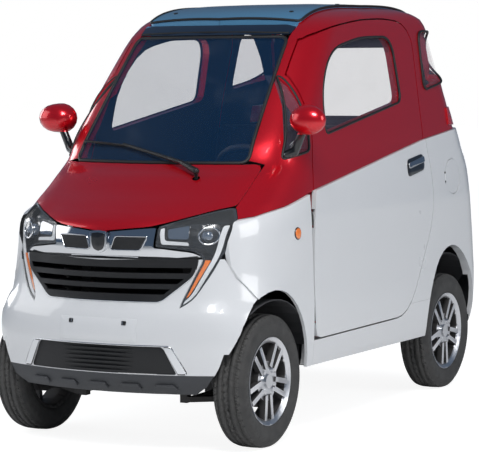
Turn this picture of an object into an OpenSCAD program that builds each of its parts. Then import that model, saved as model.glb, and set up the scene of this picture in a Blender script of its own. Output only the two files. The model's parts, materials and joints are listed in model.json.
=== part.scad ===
// Electric quadricycle: a small closed four-wheeled vehicle, about 2.4 m long.
// Millimetres. The front faces -Y, the vehicle's own left is +X, the wheels stand on Z = 0.

/* [Overall] */
// Length over the bumpers
body_l = 2400; // [2360:5:2440]
// Width over the white mouldings
body_w = 1144; // [1130:2:1160]
// Distance between the axles
wheelbase = 1657; // [1640:1:1670]
// Nose to front axle
front_overhang = 365; // [355:1:375]
// Distance between the centre planes of a pair of tyres
track = 964; // [956:2:968]

/* [Wheels] */
// Tyre diameter
tyre_d = 504; // [490:2:506]
// Tyre width at its widest
tyre_w = 135; // [125:1:138]
// Diameter over the rim lips
rim_d = 333; // [325:1:340]
// Width over the rim lips
rim_w = 112; // [100:1:118]
// Number of double spokes
spoke_count = 5; // [4:1:7]
// Stub axle diameter
stub_d = 36; // [30:1:40]
// Pitch circle of the wheel studs
stud_pcd = 100; // [98:1:108]
// Stud hole diameter
stud_d = 12; // [11:0.5:14]
// Number of wheel studs
stud_count = 4; // [3:1:5]
// Brake drum diameter
drum_d = 200; // [180:2:220]

/* [Body] */
// Thickness of the nose, fender and bumper mouldings
skin_t = 6; // [4:0.5:8]
// Thickness of the cabin walls and doors
wall_t = 45; // [36:1:48]
// Thickness of the roof
roof_t = 30; // [24:1:34]
// Thickness of the panes
glass_t = 5; // [4:0.5:6]
// How far the white mouldings stand out from the red ones
step_out = 12; // [8:1:14]
// Gap round the doors, the tailgate and the charge flap
shut_gap = 6; // [5:0.5:7]
// Gap between fixed mouldings
seam = 0.6; // [0.5:0.1:0.9]
// Radius of the front wheel arches
arch_front_r = 256; // [252:1:262]
// Radius of the rear wheel arches
arch_rear_r = 262; // [256:1:268]
// Radius of the front wheel houses inside
house_r = 305; // [300:1:308]

/* [Chassis] */
// Height of the chassis rails' underside
rail_z = 225; // [215:1:230]
// Rail height
rail_h = 60; // [50:1:62]
// Rail width
rail_w = 50; // [40:1:54]
// Distance between the rails' centre lines
rail_track = 450; // [440:2:456]
// Distance of each steering axis from the centre plane
kingpin_x = 434; // [432:1:436]
// Length of the steering arms
arm_l = 110; // [104:1:114]
// Thickness of the floor moulding
floor_t = 5; // [4:0.5:6]
// Depth of the battery pack
battery_l = 420; // [360:10:440]
// Steering wheel diameter
wheel_d = 350; // [330:5:370]
// Bolt holes of the rear carrier plate
carrier_hole_d = 10.5; // [8.5:0.5:13]
// Spacing of the rear carrier holes
carrier_pitch = 120; // [100:5:140]

/* [Cabin] */
// Width of a seat cushion
seat_w = 400; // [380:5:420]
// Distance between the seats' centres
seat_pitch = 430; // [425:1:450]
// Thickness of a seat cushion
seat_t = 105; // [90:5:120]

/* [Hidden] */
$fn = 48;
half_w = body_w / 2 - step_out / 2;
red_in = step_out / 2;
white_out = -step_out / 2;
front_axle = -body_l / 2 + front_overhang;
rear_axle_y = front_axle + wheelbase;
axle_z = tyre_d / 2;
wheel_x = track / 2;
nose = -body_l / 2;
tail = body_l / 2 + white_out;
door_y = front_axle + 322;
rear_bow = 60;

// The body's plan outlines from the sills to the roof. Columns: height, nose set back, tail set in,
// side set in, depth of the front bow, front corner across, front corner along, beak at the centre.
SECTIONS = [
    [215, 40, 70, 36, 140, 190, 120, 0],
    [260, 8, 35, 16, 140, 190, 120, 0],
    [330, 0, 10, 6, 140, 190, 120, 0],
    [450, 0, 0, 0, 140, 190, 130, 0],
    [520, 12, 0, 0, 140, 190, 190, 0],
    [575, 40, 2, 2, 135, 195, 290, 12],
    [650, 58, 8, 4, 130, 200, 390, 25],
    [740, 67, 15, 6, 130, 210, 420, 35],
    [845, 78, 22, 10, 135, 215, 440, 30],
    [905, 150, 30, 14, 150, 205, 400, 15],
    [960, 235, 40, 19, 165, 190, 350, 0],
    [1010, 315, 54, 26, 160, 175, 300, 0],
    [1055, 400, 70, 34, 140, 160, 230, 0],
    [1150, 484, 105, 44, 125, 145, 170, 0],
    [1250, 572, 138, 58, 120, 135, 160, 0],
    [1350, 662, 168, 74, 115, 130, 155, 0],
    [1450, 754, 198, 91, 110, 120, 150, 0],
    [1543, 848, 228, 106, 105, 115, 145, 0],
    [1590, 915, 245, 116, 100, 115, 150, 0],
    [1618, 972, 265, 126, 95, 110, 190, 0],
    [1640, 1035, 320, 142, 90, 110, 240, 0],
    [1658, 1120, 410, 168, 80, 105, 260, 0],
    [1672, 1260, 550, 231, 60, 95, 200, 0],
    [1680, 1430, 720, 386, 25, 50, 60, 0]
];

// Height of the line between white and red, along the vehicle
TONE = [[nose + 190, 850], [front_axle + 161, 904], [front_axle + 375, 950],
        [door_y + 1093, 1098], [tail - 280, 1131], [tail + 20, 1150]];

// Side outlines. Columns: distance behind the door's front edge, height, corner length.
DOOR = [[0, 377, 40], [-10, 540, 60], [0, 760, 90], [43, 960, 60], [84, 1120, 40], [88, 1300, 60],
        [113, 1440, 50], [213, 1522, 60], [398, 1577, 80], [688, 1607, 80], [923, 1612, 60],
        [1083, 1598, 50], [1153, 1530, 50], [1125, 1250, 60], [1125, 1100, 60], [1153, 860, 70],
        [1113, 725, 70], [974, 535, 60], [893, 425, 50], [805, 377, 50]];
DOOR_WINDOW = [[205, 1158, 30], [220, 1330, 90], [352, 1492, 120], [640, 1538, 80], [905, 1542, 55],
               [950, 1490, 40], [952, 1268, 40]];
QUARTER_LIGHT = [[-110, 1075, 18], [55, 1100, 25], [66, 1300, 30], [84, 1405, 30]];
REAR_WINDOW = [[1200, 1310, 40], [1225, 1565, 50], [1420, 1562, 70], [1490, 1400, 90], [1435, 1345, 60]];

// Front outlines, half of each. Columns: distance from the centre plane, height, corner length.
WINDSCREEN = [[0, 1064, 0], [384, 1064, 30], [344, 1543, 30], [0, 1543, 0]];
HEADER = [[0, 1549, 0], [345, 1549, 8], [350, 1590, 8], [0, 1590, 0]];
BONNET = [[0, 823, 0], [104, 834, 40], [222, 846, 60], [441, 913, 8], [441, 1056, 30], [0, 1056, 0]];
LAMP = [[216, 770, 6], [223, 843, 10], [441, 909, 12], [466, 850, 20], [447, 735, 60], [367, 579, 40],
        [317, 545, 5], [321, 573, 20], [386, 727, 20], [356, 753, 15]];
CHROME = [[0, 724, 0], [170, 724, 20], [380, 733, 10], [353, 749, 15], [212, 767, 10], [219, 840, 10],
          [104, 830, 40], [0, 819, 0]];
CHROME_INSET = [[45, 753, 12], [170, 753, 12], [190, 812, 12], [62, 812, 12]];
GRILLE = [[0, 720, 0], [372, 730, 10], [364, 668, 30], [287, 605, 30], [245, 569, 20], [0, 569, 0]];
LOWER_GRILLE = [[0, 408, 0], [268, 408, 18], [318, 304, 12], [0, 304, 0]];
STRIP_LAMP = [[269, 408, 4], [300, 408, 14], [356, 312, 14], [350, 304, 4], [320, 304, 2]];
SHIELD = [[0, 744, 0], [26, 752, 12], [34, 780, 12], [34, 822, 5], [0, 822, 0]];
TAILGATE = [[0, 690, 0], [372, 690, 50], [404, 900, 60], [392, 1130, 60], [340, 1560, 50], [0, 1560, 0]];
TAIL_WINDOW = [[0, 1180, 0], [330, 1180, 40], [292, 1500, 50], [0, 1500, 0]];
TAIL_LAMP = [[408, 1165, 10], [520, 1150, 10], [520, 1228, 10], [402, 1238, 10]];

// Plan outline of the roof panel, half. Columns: distance from the centre plane, place along, corner length.
ROOF_PANEL = [[0, nose + 965, 0], [350, nose + 1000, 20], [352, tail - 420, 60], [335, tail - 300, 40],
              [0, tail - 285, 0]];

// A curve from a to c that leaves and arrives along the lines to b
function bend(a, b, c, n) = [for (i = [1:n]) let (t = i / n) (1 - t) * (1 - t) * a + 2 * t * (1 - t) * b + t * t * c];

// An outline with its corners rounded by each point's corner length
function rounded(pts, n = 3) = let (m = len(pts)) [
    for (i = [0:m - 1])
        let (p = [pts[i][0], pts[i][1]], q = pts[(i + m - 1) % m], r = pts[(i + 1) % m], c = pts[i][2],
             a = [q[0], q[1]] - p, b = [r[0], r[1]] - p)
        each c == 0 ? [p]
            : concat([p + a * min(c / norm(a), 0.49)],
                     bend(p + a * min(c / norm(a), 0.49), p, p + b * min(c / norm(b), 0.49), n))];

// Moves a side outline to the door, and a half outline to both sides
function from_door(pts) = [for (p = pts) [p[0] + door_y, p[1], p[2]]];
function mirrored(pts) = concat(pts, [for (i = [len(pts) - 1:-1:0]) if (pts[i][0] > 0) [-pts[i][0], pts[i][1], pts[i][2]]]);

// Half of a plan outline, set in by t
function half_ring(s, t) = let (
    yf = nose + s[1] + t, yr = tail - s[2] - t, w = half_w - s[3] - t,
    fx = s[5] - min(0.4 * t, 0.4 * s[5]), fy = s[6] - min(0.4 * t, 0.4 * s[6]),
    rx = min(115, 0.27 * w), ry = min(130, 0.3 * w),
    xf = w - fx, y1 = yf + s[4] * pow(xf / w, 2), yc = y1 + 2 * s[4] * xf / (w * w) * fx,
    xr = w - rx, y2 = yr - rear_bow * pow(xr / w, 2), yd = y2 - 2 * rear_bow * xr / (w * w) * rx)
    concat([for (i = [0:4]) let (x = xf * i / 4) [x, yf + s[4] * pow(x / w, 2) - s[7] * max(0, 1 - pow(x / 300, 2))]],
        bend([xf, y1], [w, yc], [w, yc + fy], 4), [[w, yd - ry]], bend([w, yd - ry], [w, yd], [xr, y2], 4),
        [for (i = [1:3]) let (x = xr * (1 - i / 3)) [x, yr - rear_bow * pow(x / w, 2)]]);

// A whole plan outline at its height; near the roof it also sinks as it is set in
function ring(i, t) = let (s = SECTIONS[i], h = half_ring(s, t),
    z = s[0] - t * min(1, max(0, (s[0] - 1500) / 150)) - (i == 0 && t > 0 ? 20 : 0))
    concat([for (p = h) [p[0], p[1], z]], [for (p = h) [-p[0], p[1], z]]);

// The closed body form, set in by t from the drawn surface
module form(t) {
    for (i = [0:len(SECTIONS) - 2])
        let (p = concat(ring(i, t), ring(i + 1, t)))
            hull() polyhedron(points = p, faces = [[for (k = [0:len(p) - 1]) k]]);
}

// The layer of the body form between two depths
module layer(t0, t1) {
    difference() {
        form(t0);
        form(t1);
    }
}

// Outline drawn in side view (along, height), extruded across from x0 to x1
module side_cut(pts, x0 = -700, x1 = 700) {
    translate([x0, 0, 0]) rotate([90, 0, 90]) linear_extrude(x1 - x0) polygon(pts);
}

// Outline drawn in front view (across, height), extruded from y0 back to y1
module front_cut(pts, y0 = nose - 100, y1 = 0) {
    translate([0, y1, 0]) rotate([90, 0, 0]) linear_extrude(y1 - y0) polygon(pts);
}

module side_grown(pts, d, x0 = -700, x1 = 700) {
    translate([x0, 0, 0]) rotate([90, 0, 90]) linear_extrude(x1 - x0) offset(delta = d) polygon(pts);
}

module front_grown(pts, d, y0 = nose - 100, y1 = 0) {
    translate([0, y1, 0]) rotate([90, 0, 0]) linear_extrude(y1 - y0) offset(delta = d) polygon(pts);
}

// A copy on each side
module both() {
    children();
    mirror([1, 0, 0]) children();
}

// Everything above, or below, the white and red line, kept d away from it
module above_tone(d) {
    side_cut(concat([for (p = TONE) [p[0], p[1] + d]], [[tail + 20, 1800], [nose + 190, 1800]]));
}
module below_tone(d) {
    side_cut(concat([[nose + 190, 0]], [for (p = TONE) [p[0], p[1] - d]], [[tail + 20, 0]]));
}

// The wheel arches' openings through the sides
module arch_cut(y, r, rise) {
    for (s = [-1, 1])
        side_cut([for (a = [0:10:180]) [y + r * cos(a), axle_z + 20 + (r + rise) * sin(a)],
                                   [y - r - 6, 0], [y + r + 6, 0]], min(s * 280, s * 700), max(s * 280, s * 700));
}
module front_arches() { arch_cut(front_axle, arch_front_r, 68); }
module rear_arches() { arch_cut(rear_axle_y - 10, arch_rear_r, 98); }

door_line = rounded(from_door(DOOR), 2);
window_line = rounded(from_door(DOOR_WINDOW));
quarter_line = rounded(from_door(QUARTER_LIGHT));
rear_window_line = rounded(from_door(REAR_WINDOW));
lamp_line = rounded(LAMP);
tailgate_line = rounded(mirrored(TAILGATE));
bonnet_line = rounded(mirrored(BONNET));
screen_line = rounded(mirrored(WINDSCREEN));
header_line = rounded(mirrored(HEADER));
roof_line = rounded(mirrored(ROOF_PANEL));

// Front bumper's side joint: nose side of the line from the lamp down to the arch
BUMPER_JOINT = [[front_axle - 190, 780], [front_axle - 190, 735], [front_axle - 159, 654], [front_axle - 112, 587],
                [front_axle - 60, 520]];
sill_top = 371;
sill_rear_z = 420;
skirt_z = 302;

// Chassis

module tube_box(size, wall) {
    difference() {
        cube(size, center = true);
        cube([size[0] - 2 * wall, size[1] + 2, size[2] - 2 * wall], center = true);
    }
}

rail_front = front_axle - 245;
rail_rear = tail - 100;
tower_y = front_axle;
tower_z = 700;
mount_t = 12;
kick_y = rear_axle_y - 190;
rail_up_z = rail_z + 120;
damper_y = rear_axle_y + 125;
damper_bar_z = rail_up_z + 135;
damper_x = 350;
strut_x = 330;
module chassis_frame() {
    color("dimgray") {
        both() {
            // rail: low under the floor, raised over the rear axle
            translate([rail_track / 2, (rail_front + kick_y) / 2, rail_z + rail_h / 2])
                tube_box([rail_w, kick_y - rail_front, rail_h], 3);
            translate([rail_track / 2 - rail_w / 2, kick_y - 50, rail_z + rail_h - 1])
                cube([rail_w, 50, rail_up_z - rail_z - rail_h + 2]);
            translate([rail_track / 2, (kick_y - 50 + rail_rear) / 2, rail_up_z + rail_h / 2])
                tube_box([rail_w, rail_rear - kick_y + 50, rail_h], 3);
            // post of the damper cross bar
            translate([rail_track / 2 - 15, damper_y - 15, rail_up_z + rail_h - 1]) cube([30, 30, damper_bar_z - rail_up_z - rail_h + 2]);
            // strut tower: post, arm and ring
            translate([rail_track / 2 - 20, tower_y - 72, rail_z + rail_h]) cube([40, 34, tower_z - rail_z - rail_h]);
            difference() {
                union() {
                    translate([rail_track / 2 - 20, tower_y - 72, tower_z]) cube([strut_x - rail_track / 2 + 20, 92, mount_t]);
                    translate([strut_x, tower_y, tower_z]) cylinder(h = mount_t, r = 48);
                }
                translate([strut_x, tower_y, tower_z - 1]) cylinder(h = mount_t + 2, d = strut_rod_d + 2 * pin_play);
            }
            // post of the upper arm
            translate([rail_track / 2 - 13, tower_y + 90, rail_z + rail_h - 1]) cube([33, 30, 86]);
            // outriggers to the sills
            for (y = [door_y + 90, door_y + 700])
                translate([rail_track / 2, y, rail_z + 30])
                    cube([outrigger_end - rail_track / 2, 40, rail_h - 30]);
            // spring brackets
            for (y = [spring_front, spring_rear])
                difference() {
                    translate([rail_track / 2, y - 24, spring_z - 24])
                        cube([spring_x - spring_w / 2 - 2 - rail_track / 2, 48, (y > rear_axle_y ? rail_up_z : rail_z) + 40 - spring_z + 24]);
                    translate([0, y, rail_z + 20]) rotate([0, 90, 0]) cylinder(h = 500, d = 12);
                }
            // control arm brackets
            for (y = [front_axle - arm_base, front_axle + arm_base])
                translate([rail_track / 2 - 15, y - 16, rail_z - 60]) cube([30, 32, 60]);
        }
        for (p = [[rail_front + 30, rail_z], [front_axle + 265, rail_z], [door_y + 560, rail_z], [rail_rear - 30, rail_up_z]])
            translate([-rail_track / 2 + rail_w / 2 - 1, p[0] - 20, p[1] + 6]) cube([rail_track - rail_w + 2, 40, rail_h - 16]);
        translate([-damper_x - 22, damper_y - 15, damper_bar_z]) cube([2 * damper_x + 44, 30, 25]);
        // front bumper beam and its two horns
        translate([-255, rail_front - 30, 330]) cube([510, 24, 60]);
        both() translate([rail_track / 2 - 18, rail_front - 30, rail_z + rail_h]) cube([36, 40, 46]);
        // carrier plate under the rear cross member, with four bolt holes
        difference() {
            translate([-110, rail_rear - 70, rail_up_z - 2]) cube([220, 80, 9]);
            for (x = [-carrier_pitch / 2, carrier_pitch / 2], y = [-60, 0])
                translate([x, rail_rear + y, rail_up_z - 3]) cylinder(h = 11, d = carrier_hole_d);
        }
    }
}

floor_z = rail_z + rail_h + seam;
outrigger_end = half_w - 76;
cabin_half = half_w - wall_t - 16;
shelf_z = 1000;
foot_half = rail_track / 2 - 22;
seat_front = door_y + 490;
seat_rear = door_y + 985;
seat_base_z = 520;
boot_z = 612;
boot_end = tail - 90;
firewall_y = door_y - 24;
toe_y = front_axle + 45;

module floor_pan() {
    house_top = axle_z + house_r;
    color([0.12, 0.12, 0.13]) {
        // floor, seat base and boot floor
        difference() {
            union() {
                translate([-cabin_half, firewall_y, floor_z]) cube([2 * cabin_half, seat_front - firewall_y, floor_t]);
                translate([-cabin_half, seat_front, floor_z]) cube([2 * cabin_half, floor_t, seat_base_z - floor_z]);
                translate([-cabin_half, seat_front, seat_base_z - floor_t]) cube([2 * cabin_half, seat_rear - seat_front, floor_t]);
                translate([-cabin_half, seat_rear - floor_t, seat_base_z - floor_t]) cube([2 * cabin_half, floor_t, boot_z - seat_base_z + floor_t]);
                translate([-cabin_half, seat_rear - floor_t, boot_z - floor_t]) cube([2 * cabin_half, boot_end - seat_rear + floor_t, floor_t]);
                translate([-cabin_half, firewall_y, floor_z]) cube([2 * cabin_half, floor_t, 850 - floor_z]);
                translate([-cabin_half + 18, firewall_y, 849]) cube([2 * cabin_half - 36, floor_t, shelf_z - 849]);
            }
            // footwell mouth through the firewall and the steering column's hole
            translate([-foot_half, firewall_y - 1, floor_z + floor_t]) cube([2 * foot_half, floor_t + 2, toe_top - 4 - floor_z - floor_t]);
            column_hole();
        }
        // footwell between the wheel houses
        translate([-foot_half - floor_t, toe_y, floor_z]) cube([2 * foot_half + 2 * floor_t, firewall_y - toe_y + 1, floor_t]);
        both() translate([foot_half, 0, 0])
            side_cut([[toe_y, floor_z], [firewall_y + 1, floor_z], [firewall_y + 1, toe_top], [toe_y, toe_low]], 0, floor_t);
        side_cut([[toe_y, floor_z], [toe_y + floor_t, floor_z], [toe_y + floor_t, toe_low - 2],
                  [firewall_y + 1, toe_top - floor_t], [firewall_y + 1, toe_top], [toe_y, toe_low]],
                 -foot_half - floor_t, foot_half + floor_t);
        // seat base sides
        both() translate([cabin_half - floor_t, seat_front, floor_z]) cube([floor_t, seat_rear - seat_front, seat_base_z - floor_z]);
    }
}
toe_top = 640;
toe_low = 380;
// Lean of the steering column from upright
column_angle = 47.3;
column_x = 170;
hub_y = door_y + 270;
hub_z = 985;

// The steering column's line: from the pinion up to the wheel's hub
module on_column() {
    translate([column_x, hub_y, hub_z]) rotate([-column_angle, 0, 0]) children();
}
module column_hole() {
    on_column() translate([0, 0, -900]) cylinder(h = 800, d = 60);
}

module wheel_houses() {
    color([0.10, 0.10, 0.11]) both() {
        // front: an arched shell, open below and outwards, with the strut's hole
        intersection() {
            difference() {
                translate([house_in, front_axle, axle_z]) rotate([0, 90, 0]) cylinder(h = 700, r = house_r + 4, $fn = 36);
                translate([house_in + 4, front_axle, axle_z]) rotate([0, 90, 0]) cylinder(h = 700, r = house_r, $fn = 36);
                translate([strut_x, front_axle, axle_z]) cylinder(h = 400, d = 110, $fn = 24);
                translate([0, front_axle - 400, -60]) cube([house_in + 90, 800, axle_z + 200]);
                translate([0, front_axle - 400, 0]) cube([700, 800, axle_z + 104]);
            }
            form(skin_t + 1);
        }
        // rear: an arched shell with its inner wall above the axle
        intersection() {
            difference() {
                translate([rear_house_in, rear_axle_y, axle_z]) rotate([0, 90, 0]) cylinder(h = 700, r = rear_house_r + 4, $fn = 36);
                translate([rear_house_in + 4, rear_axle_y, axle_z]) rotate([0, 90, 0]) cylinder(h = 700, r = rear_house_r, $fn = 36);
                translate([0, rear_axle_y - 400, 0]) cube([rear_house_in + 60, 800, axle_z + 225]);
                translate([0, rear_axle_y - 400, 0]) cube([700, 800, sill_rear_z + 6]);
            }
            form(wall_t - 14.4);
        }
    }
}
house_in = 264;
rear_house_in = 385;
rear_house_r = 340;

battery_foot = 8;
module battery_pack() {
    color([0.2, 0.25, 0.3])
        translate([-340, seat_front + 25, floor_z + floor_t + battery_foot]) {
            cube([680, battery_l, 170]);
        }
    // feet on the rails
    color([0.2, 0.25, 0.3]) both()
        translate([rail_track / 2 - 20, seat_front + 35, floor_z + floor_t + 0.3]) cube([40, battery_l - 20, battery_foot + 0.5]);
}

// Rear axle, springs and front suspension

axle_tube_d = 60;
spring_x = 305;
spring_w = 44;
spring_front = rear_axle_y - 300;
spring_rear = rear_axle_y + 255;
spring_z = rail_z + 20;
arm_base = 95;
strut_rod_d = 22;
pin_play = 0.5;
hub_face = wheel_x + 16;

module along_x(x0, x1) {
    translate([x0, 0, 0]) rotate([0, 90, 0]) linear_extrude(x1 - x0) children();
}

module rear_axle() {
    color([0.22, 0.22, 0.23]) translate([0, rear_axle_y, axle_z]) {
        difference() {
            union() {
                along_x(-back_plate_x, back_plate_x) circle(d = axle_tube_d);
                rotate([0, 90, 0]) rotate_extrude() polygon([[0, -70], [60, -70], [95, -35], [95, 35], [60, 70], [0, 70]]);
                // motor with cooling ribs ahead of the axle
                translate([0, -150, 10]) rotate([0, 90, 0]) {
                    translate([0, 0, -60]) cylinder(h = 200, d = 160);
                    for (z = [-40:20:120]) translate([0, 0, z]) cylinder(h = 6, d = 172);
                }
                translate([-50, -150, -50]) cube([100, 150, 110]);
                both() {
                    along_x(back_plate_x - 8, back_plate_x) circle(d = drum_d - 6);
                    // spring seats
                    translate([spring_x - spring_w / 2, -40, axle_tube_d / 2 - 6]) cube([spring_w, 80, 14]);
                    // damper foot
                    translate([damper_x - 16, 0, -10]) cube([32, 84, 20]);
                }
            }
        }
        both() along_x(back_plate_x - 1, stub_end) circle(d = stub_d);
    }
}
back_plate_x = wheel_x - 20;
stub_end = wheel_x + 30;

leaf_t = 7;
module rear_suspension() {
    color([0.16, 0.16, 0.17]) both() {
        // leaf spring over the axle, flat on its seat, with an eye at each end
        translate([spring_x - spring_w / 2, 0, 0]) difference() {
            union() {
                side_cut([for (i = [0:12]) leaf_point(i / 12, 0), for (i = [12:-1:0]) leaf_point(i / 12, leaf_t)], 0, spring_w);
                side_cut([for (i = [2:10]) leaf_point(i / 12, leaf_t), for (i = [10:-1:2]) leaf_point(i / 12, 2 * leaf_t)], 0, spring_w);
                for (y = [spring_front, spring_rear])
                    translate([0, y, spring_z]) rotate([0, 90, 0]) cylinder(h = spring_w, d = 32);
            }
            for (y = [spring_front, spring_rear])
                translate([-1, y, spring_z]) rotate([0, 90, 0]) cylinder(h = spring_w + 2, d = 12);
        }
        // damper from its foot on the axle up to the cross bar
        translate([damper_x, rear_axle_y + 60, axle_z + 17]) rotate([-damper_lean, 0, 0]) {
            cylinder(h = 130, d = 42);
            cylinder(h = (damper_bar_z - 4 - axle_z - 17) / cos(damper_lean), d = 24);
        }
    }
}
damper_lean = 17.5;
function leaf_point(u, up) = let (y = spring_front + u * (spring_rear - spring_front),
    rise = axle_z + axle_tube_d / 2 + 8.5 - spring_z + 16) [y, spring_z - 16 + up + rise * min(1, 1.16 * sin(180 * u))];

module front_suspension() {
    color([0.16, 0.16, 0.17]) both() {
        difference() {
            union() {
                // lower control arm: a wide foot at the rail and a ball joint seat
                hull() {
                    translate([rail_track / 2 + 15.5, front_axle - arm_base - 16, arm_z]) cube([14, 2 * arm_base + 32, 20]);
                    translate([kingpin_x - 60, front_axle - 20, arm_z]) cube([10, 40, 20]);
                }
                hull() {
                    translate([kingpin_x - 62, front_axle - 20, arm_z]) cube([10, 40, 20]);
                    translate([kingpin_x, front_axle, arm_z]) cylinder(h = 20, r = 18, $fn = 32);
                }
                // upper arm, from its post behind the strut
                hull() {
                    translate([rail_track / 2 + 20.5, tower_y + 90, upper_arm_z]) cube([10, 30, 18]);
                    translate([kingpin_x, front_axle, upper_arm_z]) cylinder(h = 18, r = 18, $fn = 32);
                }
            }
            translate([kingpin_x, front_axle, arm_z - 1]) cylinder(h = 300, d = ball_d + 2 * pin_play);
            translate([rail_track / 2 + 40, front_axle - 50, arm_z - 1]) cube([24, 100, 22]);
        }
        // strut and coil spring from the lower arm up to the tower
        translate([strut_x, front_axle, 0]) {
            translate([0, 0, arm_z + 19]) cylinder(h = 470 - arm_z - 19, d = 42);
            translate([0, 0, 460]) cylinder(h = tower_z + mount_t + 12 - 460, d = strut_rod_d);
            translate([0, 0, tower_z + mount_t + 0.4]) cylinder(h = 10, d = 46);
            translate([0, 0, 460]) cylinder(h = 8, d = 90);
            translate([0, 0, tower_z - 18]) cylinder(h = 12, d = 84);
            for (k = [0:8])
                translate([0, 0, 474 + k * 25]) rotate_extrude() translate([32, 0]) circle(d = 14, $fn = 12);
            translate([0, 0, 466]) cylinder(h = tower_z - 18 - 464, d = 54);
        }
    }
}
arm_z = rail_z - 56;
upper_arm_z = 345;
ball_d = 18;

// Upright between the two ball joints, with its stub axle, back plate and steering arm
module knuckle() {
    difference() {
        union() {
            translate([kingpin_x, front_axle, arm_z - 4]) cylinder(h = 34, d = ball_d);
            translate([kingpin_x - 18, front_axle - 28, arm_z + 26]) cube([36, 56, upper_arm_z - 7 - arm_z - 26]);
            translate([kingpin_x, front_axle, upper_arm_z - 12]) cylinder(h = 36, d = ball_d);
            translate([0, front_axle, axle_z]) {
                along_x(kingpin_x, stub_end) circle(d = stub_d);
                along_x(kingpin_x, back_plate_x - 3) circle(d = 70);
                along_x(back_plate_x - 4, back_plate_x) circle(d = drum_d - 6);
            }
            // steering arm, forwards
            translate([kingpin_x - arm_in, front_axle - arm_l, arm_top]) cylinder(h = 12, r = 16);
            translate([kingpin_x, front_axle, arm_top]) linear_extrude(12)
                polygon([[-arm_in - 13, -arm_l], [-arm_in + 14, -arm_l], [-16, -30], [-16, -5], [-40, -5]]);
        }
        translate([kingpin_x - arm_in, front_axle - arm_l, arm_top - 1]) cylinder(h = 14, d = 10);
    }
}
arm_top = 322;
// How far the steering arm's eye lies inside the kingpin
arm_in = 52;
module knuckle_left() { color("gray") knuckle(); }
module knuckle_right() { color("gray") mirror([1, 0, 0]) knuckle(); }

rack_z = 304;
rack_y = front_axle - arm_l;
rack_rod_d = 14;
module steering_gear() {
    color([0.3, 0.3, 0.32]) {
        // rack housing with its feet on the rails
        difference() {
            union() {
                translate([0, rack_y, rack_z]) along_x(-190, 190) circle(d = 40);
                both() translate([150, rack_y - 22, rail_z + rail_h + 0.3]) cube([58, 44, 6]);
                on_column() translate([0, 0, pinion_s]) cylinder(h = 110, d = 46);
            }
            translate([0, rack_y, rack_z]) along_x(-191, 191) circle(d = rack_bar_d + 2 * pin_play);
            on_column() translate([0, 0, pinion_s + 20]) cylinder(h = 120, d = column_d + 2 * pin_play);
        }
        // column tube carried under the dash
        on_column() difference() {
            translate([0, 0, -330]) cylinder(h = 240, d = 42);
            translate([0, 0, -331]) cylinder(h = 242, d = column_d + 2 * pin_play);
        }
    }
}
rack_bar_d = 22;
column_d = 20;
pinion_s = -(hub_z - rack_z - 34) / cos(column_angle);

module rack_bar() {
    color("silver") translate([0, rack_y, rack_z]) {
        along_x(-262, 262) circle(d = rack_bar_d);
        both() {
            along_x(260, kingpin_x - arm_in) circle(d = rack_rod_d);
            translate([kingpin_x - arm_in, 0, -10]) cylinder(h = arm_top - rack_z + 10 - 1, d = 26);
        }
    }
}

module steering_wheel() {
    color([0.08, 0.08, 0.09]) on_column() {
        rotate_extrude($fn = 72) translate([wheel_d / 2 - 14, 0]) circle(d = 28, $fn = 24);
        translate([0, 0, -26]) cylinder(h = 36, d1 = 90, d2 = 110);
        for (a = [90, 210, 330]) rotate([0, 0, a]) translate([0, -16, -12]) cube([wheel_d / 2 - 16, 32, 12]);
        translate([0, 0, pinion_s + 24]) cylinder(h = -pinion_s - 30, d = column_d);
    }
}

// Cabin

module dashboard() {
    profile = rounded([[firewall_y + floor_t + 1, 725, 10], [door_y + 70, 740, 30], [door_y + 110, 860, 50],
                       [door_y + 95, 985, 30], [door_y + 40, 1046, 60], [front_axle + 65, 1052, 20],
                       [front_axle + 65, shelf_z + 6, 5], [firewall_y - 5, shelf_z + 1.5, 0],
                       [firewall_y + floor_t + 1, shelf_z + 1.5, 0]]);
    color([0.13, 0.13, 0.14]) intersection() {
        difference() {
            side_cut(profile, -cabin_half + 36, cabin_half - 36);
            // knee space each side and the column's way through
            on_column() translate([0, 0, -700]) cylinder(h = 700, d = 64);
            translate([-440, door_y + 20, 700]) cube([880, 160, 60]);
            translate([column_x - 130, door_y + 72, 990]) rotate([-20, 0, 0]) cube([260, 60, 50]);
        }
        form(wall_t + 6);
    }
}

seat_z = seat_base_z + 14;
seat_back_y = door_y + 905;
// A cushion: a soft block with its upper edges drawn in
module cushion(w, l, t, r) {
    hull() for (x = [-1, 1], y = [-1, 1]) {
        translate([x * (w / 2 - r), y * (l / 2 - r), 0]) cylinder(h = t - r, r = r, $fn = 20);
        translate([x * (w / 2 - r * 1.4), y * (l / 2 - r * 1.4), 0]) cylinder(h = t, r = r * 0.8, $fn = 20);
    }
}
module seat_cushions() {
    color([0.09, 0.09, 0.10]) for (x = [-seat_pitch / 2, seat_pitch / 2])
        translate([x, seat_front + 210, seat_z]) cushion(seat_w, 380, seat_t, 40);
}
module seat_backs() {
    color([0.09, 0.09, 0.10]) for (x = [-seat_pitch / 2, seat_pitch / 2])
        translate([x, seat_back_y, seat_z + seat_t + 8]) rotate([-12 + 90, 0, 0]) translate([0, 265, -45])
            cushion(seat_w, 530, 90, 40);
}
module seat_frames() {
    color([0.3, 0.3, 0.32]) for (x = [-seat_pitch / 2, seat_pitch / 2]) {
        for (dx = [-seat_w / 2 + 50, seat_w / 2 - 70])
            translate([x + dx, seat_front + 20, seat_base_z + 0.3]) cube([20, 376, 13.4]);
        // back frame: two uprights and a cross bar behind the cushion
        for (dx = [-seat_w / 2 + 60, seat_w / 2 - 84])
            translate([x + dx, seat_back_y + 26, seat_base_z + 6]) rotate([-12, 0, 0]) cube([24, 14, 420]);
        translate([x - seat_w / 2 + 56, seat_back_y + 20, seat_base_z + 0.3]) cube([seat_w - 112, 28, 14]);
    }
}

// Outer body

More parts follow.
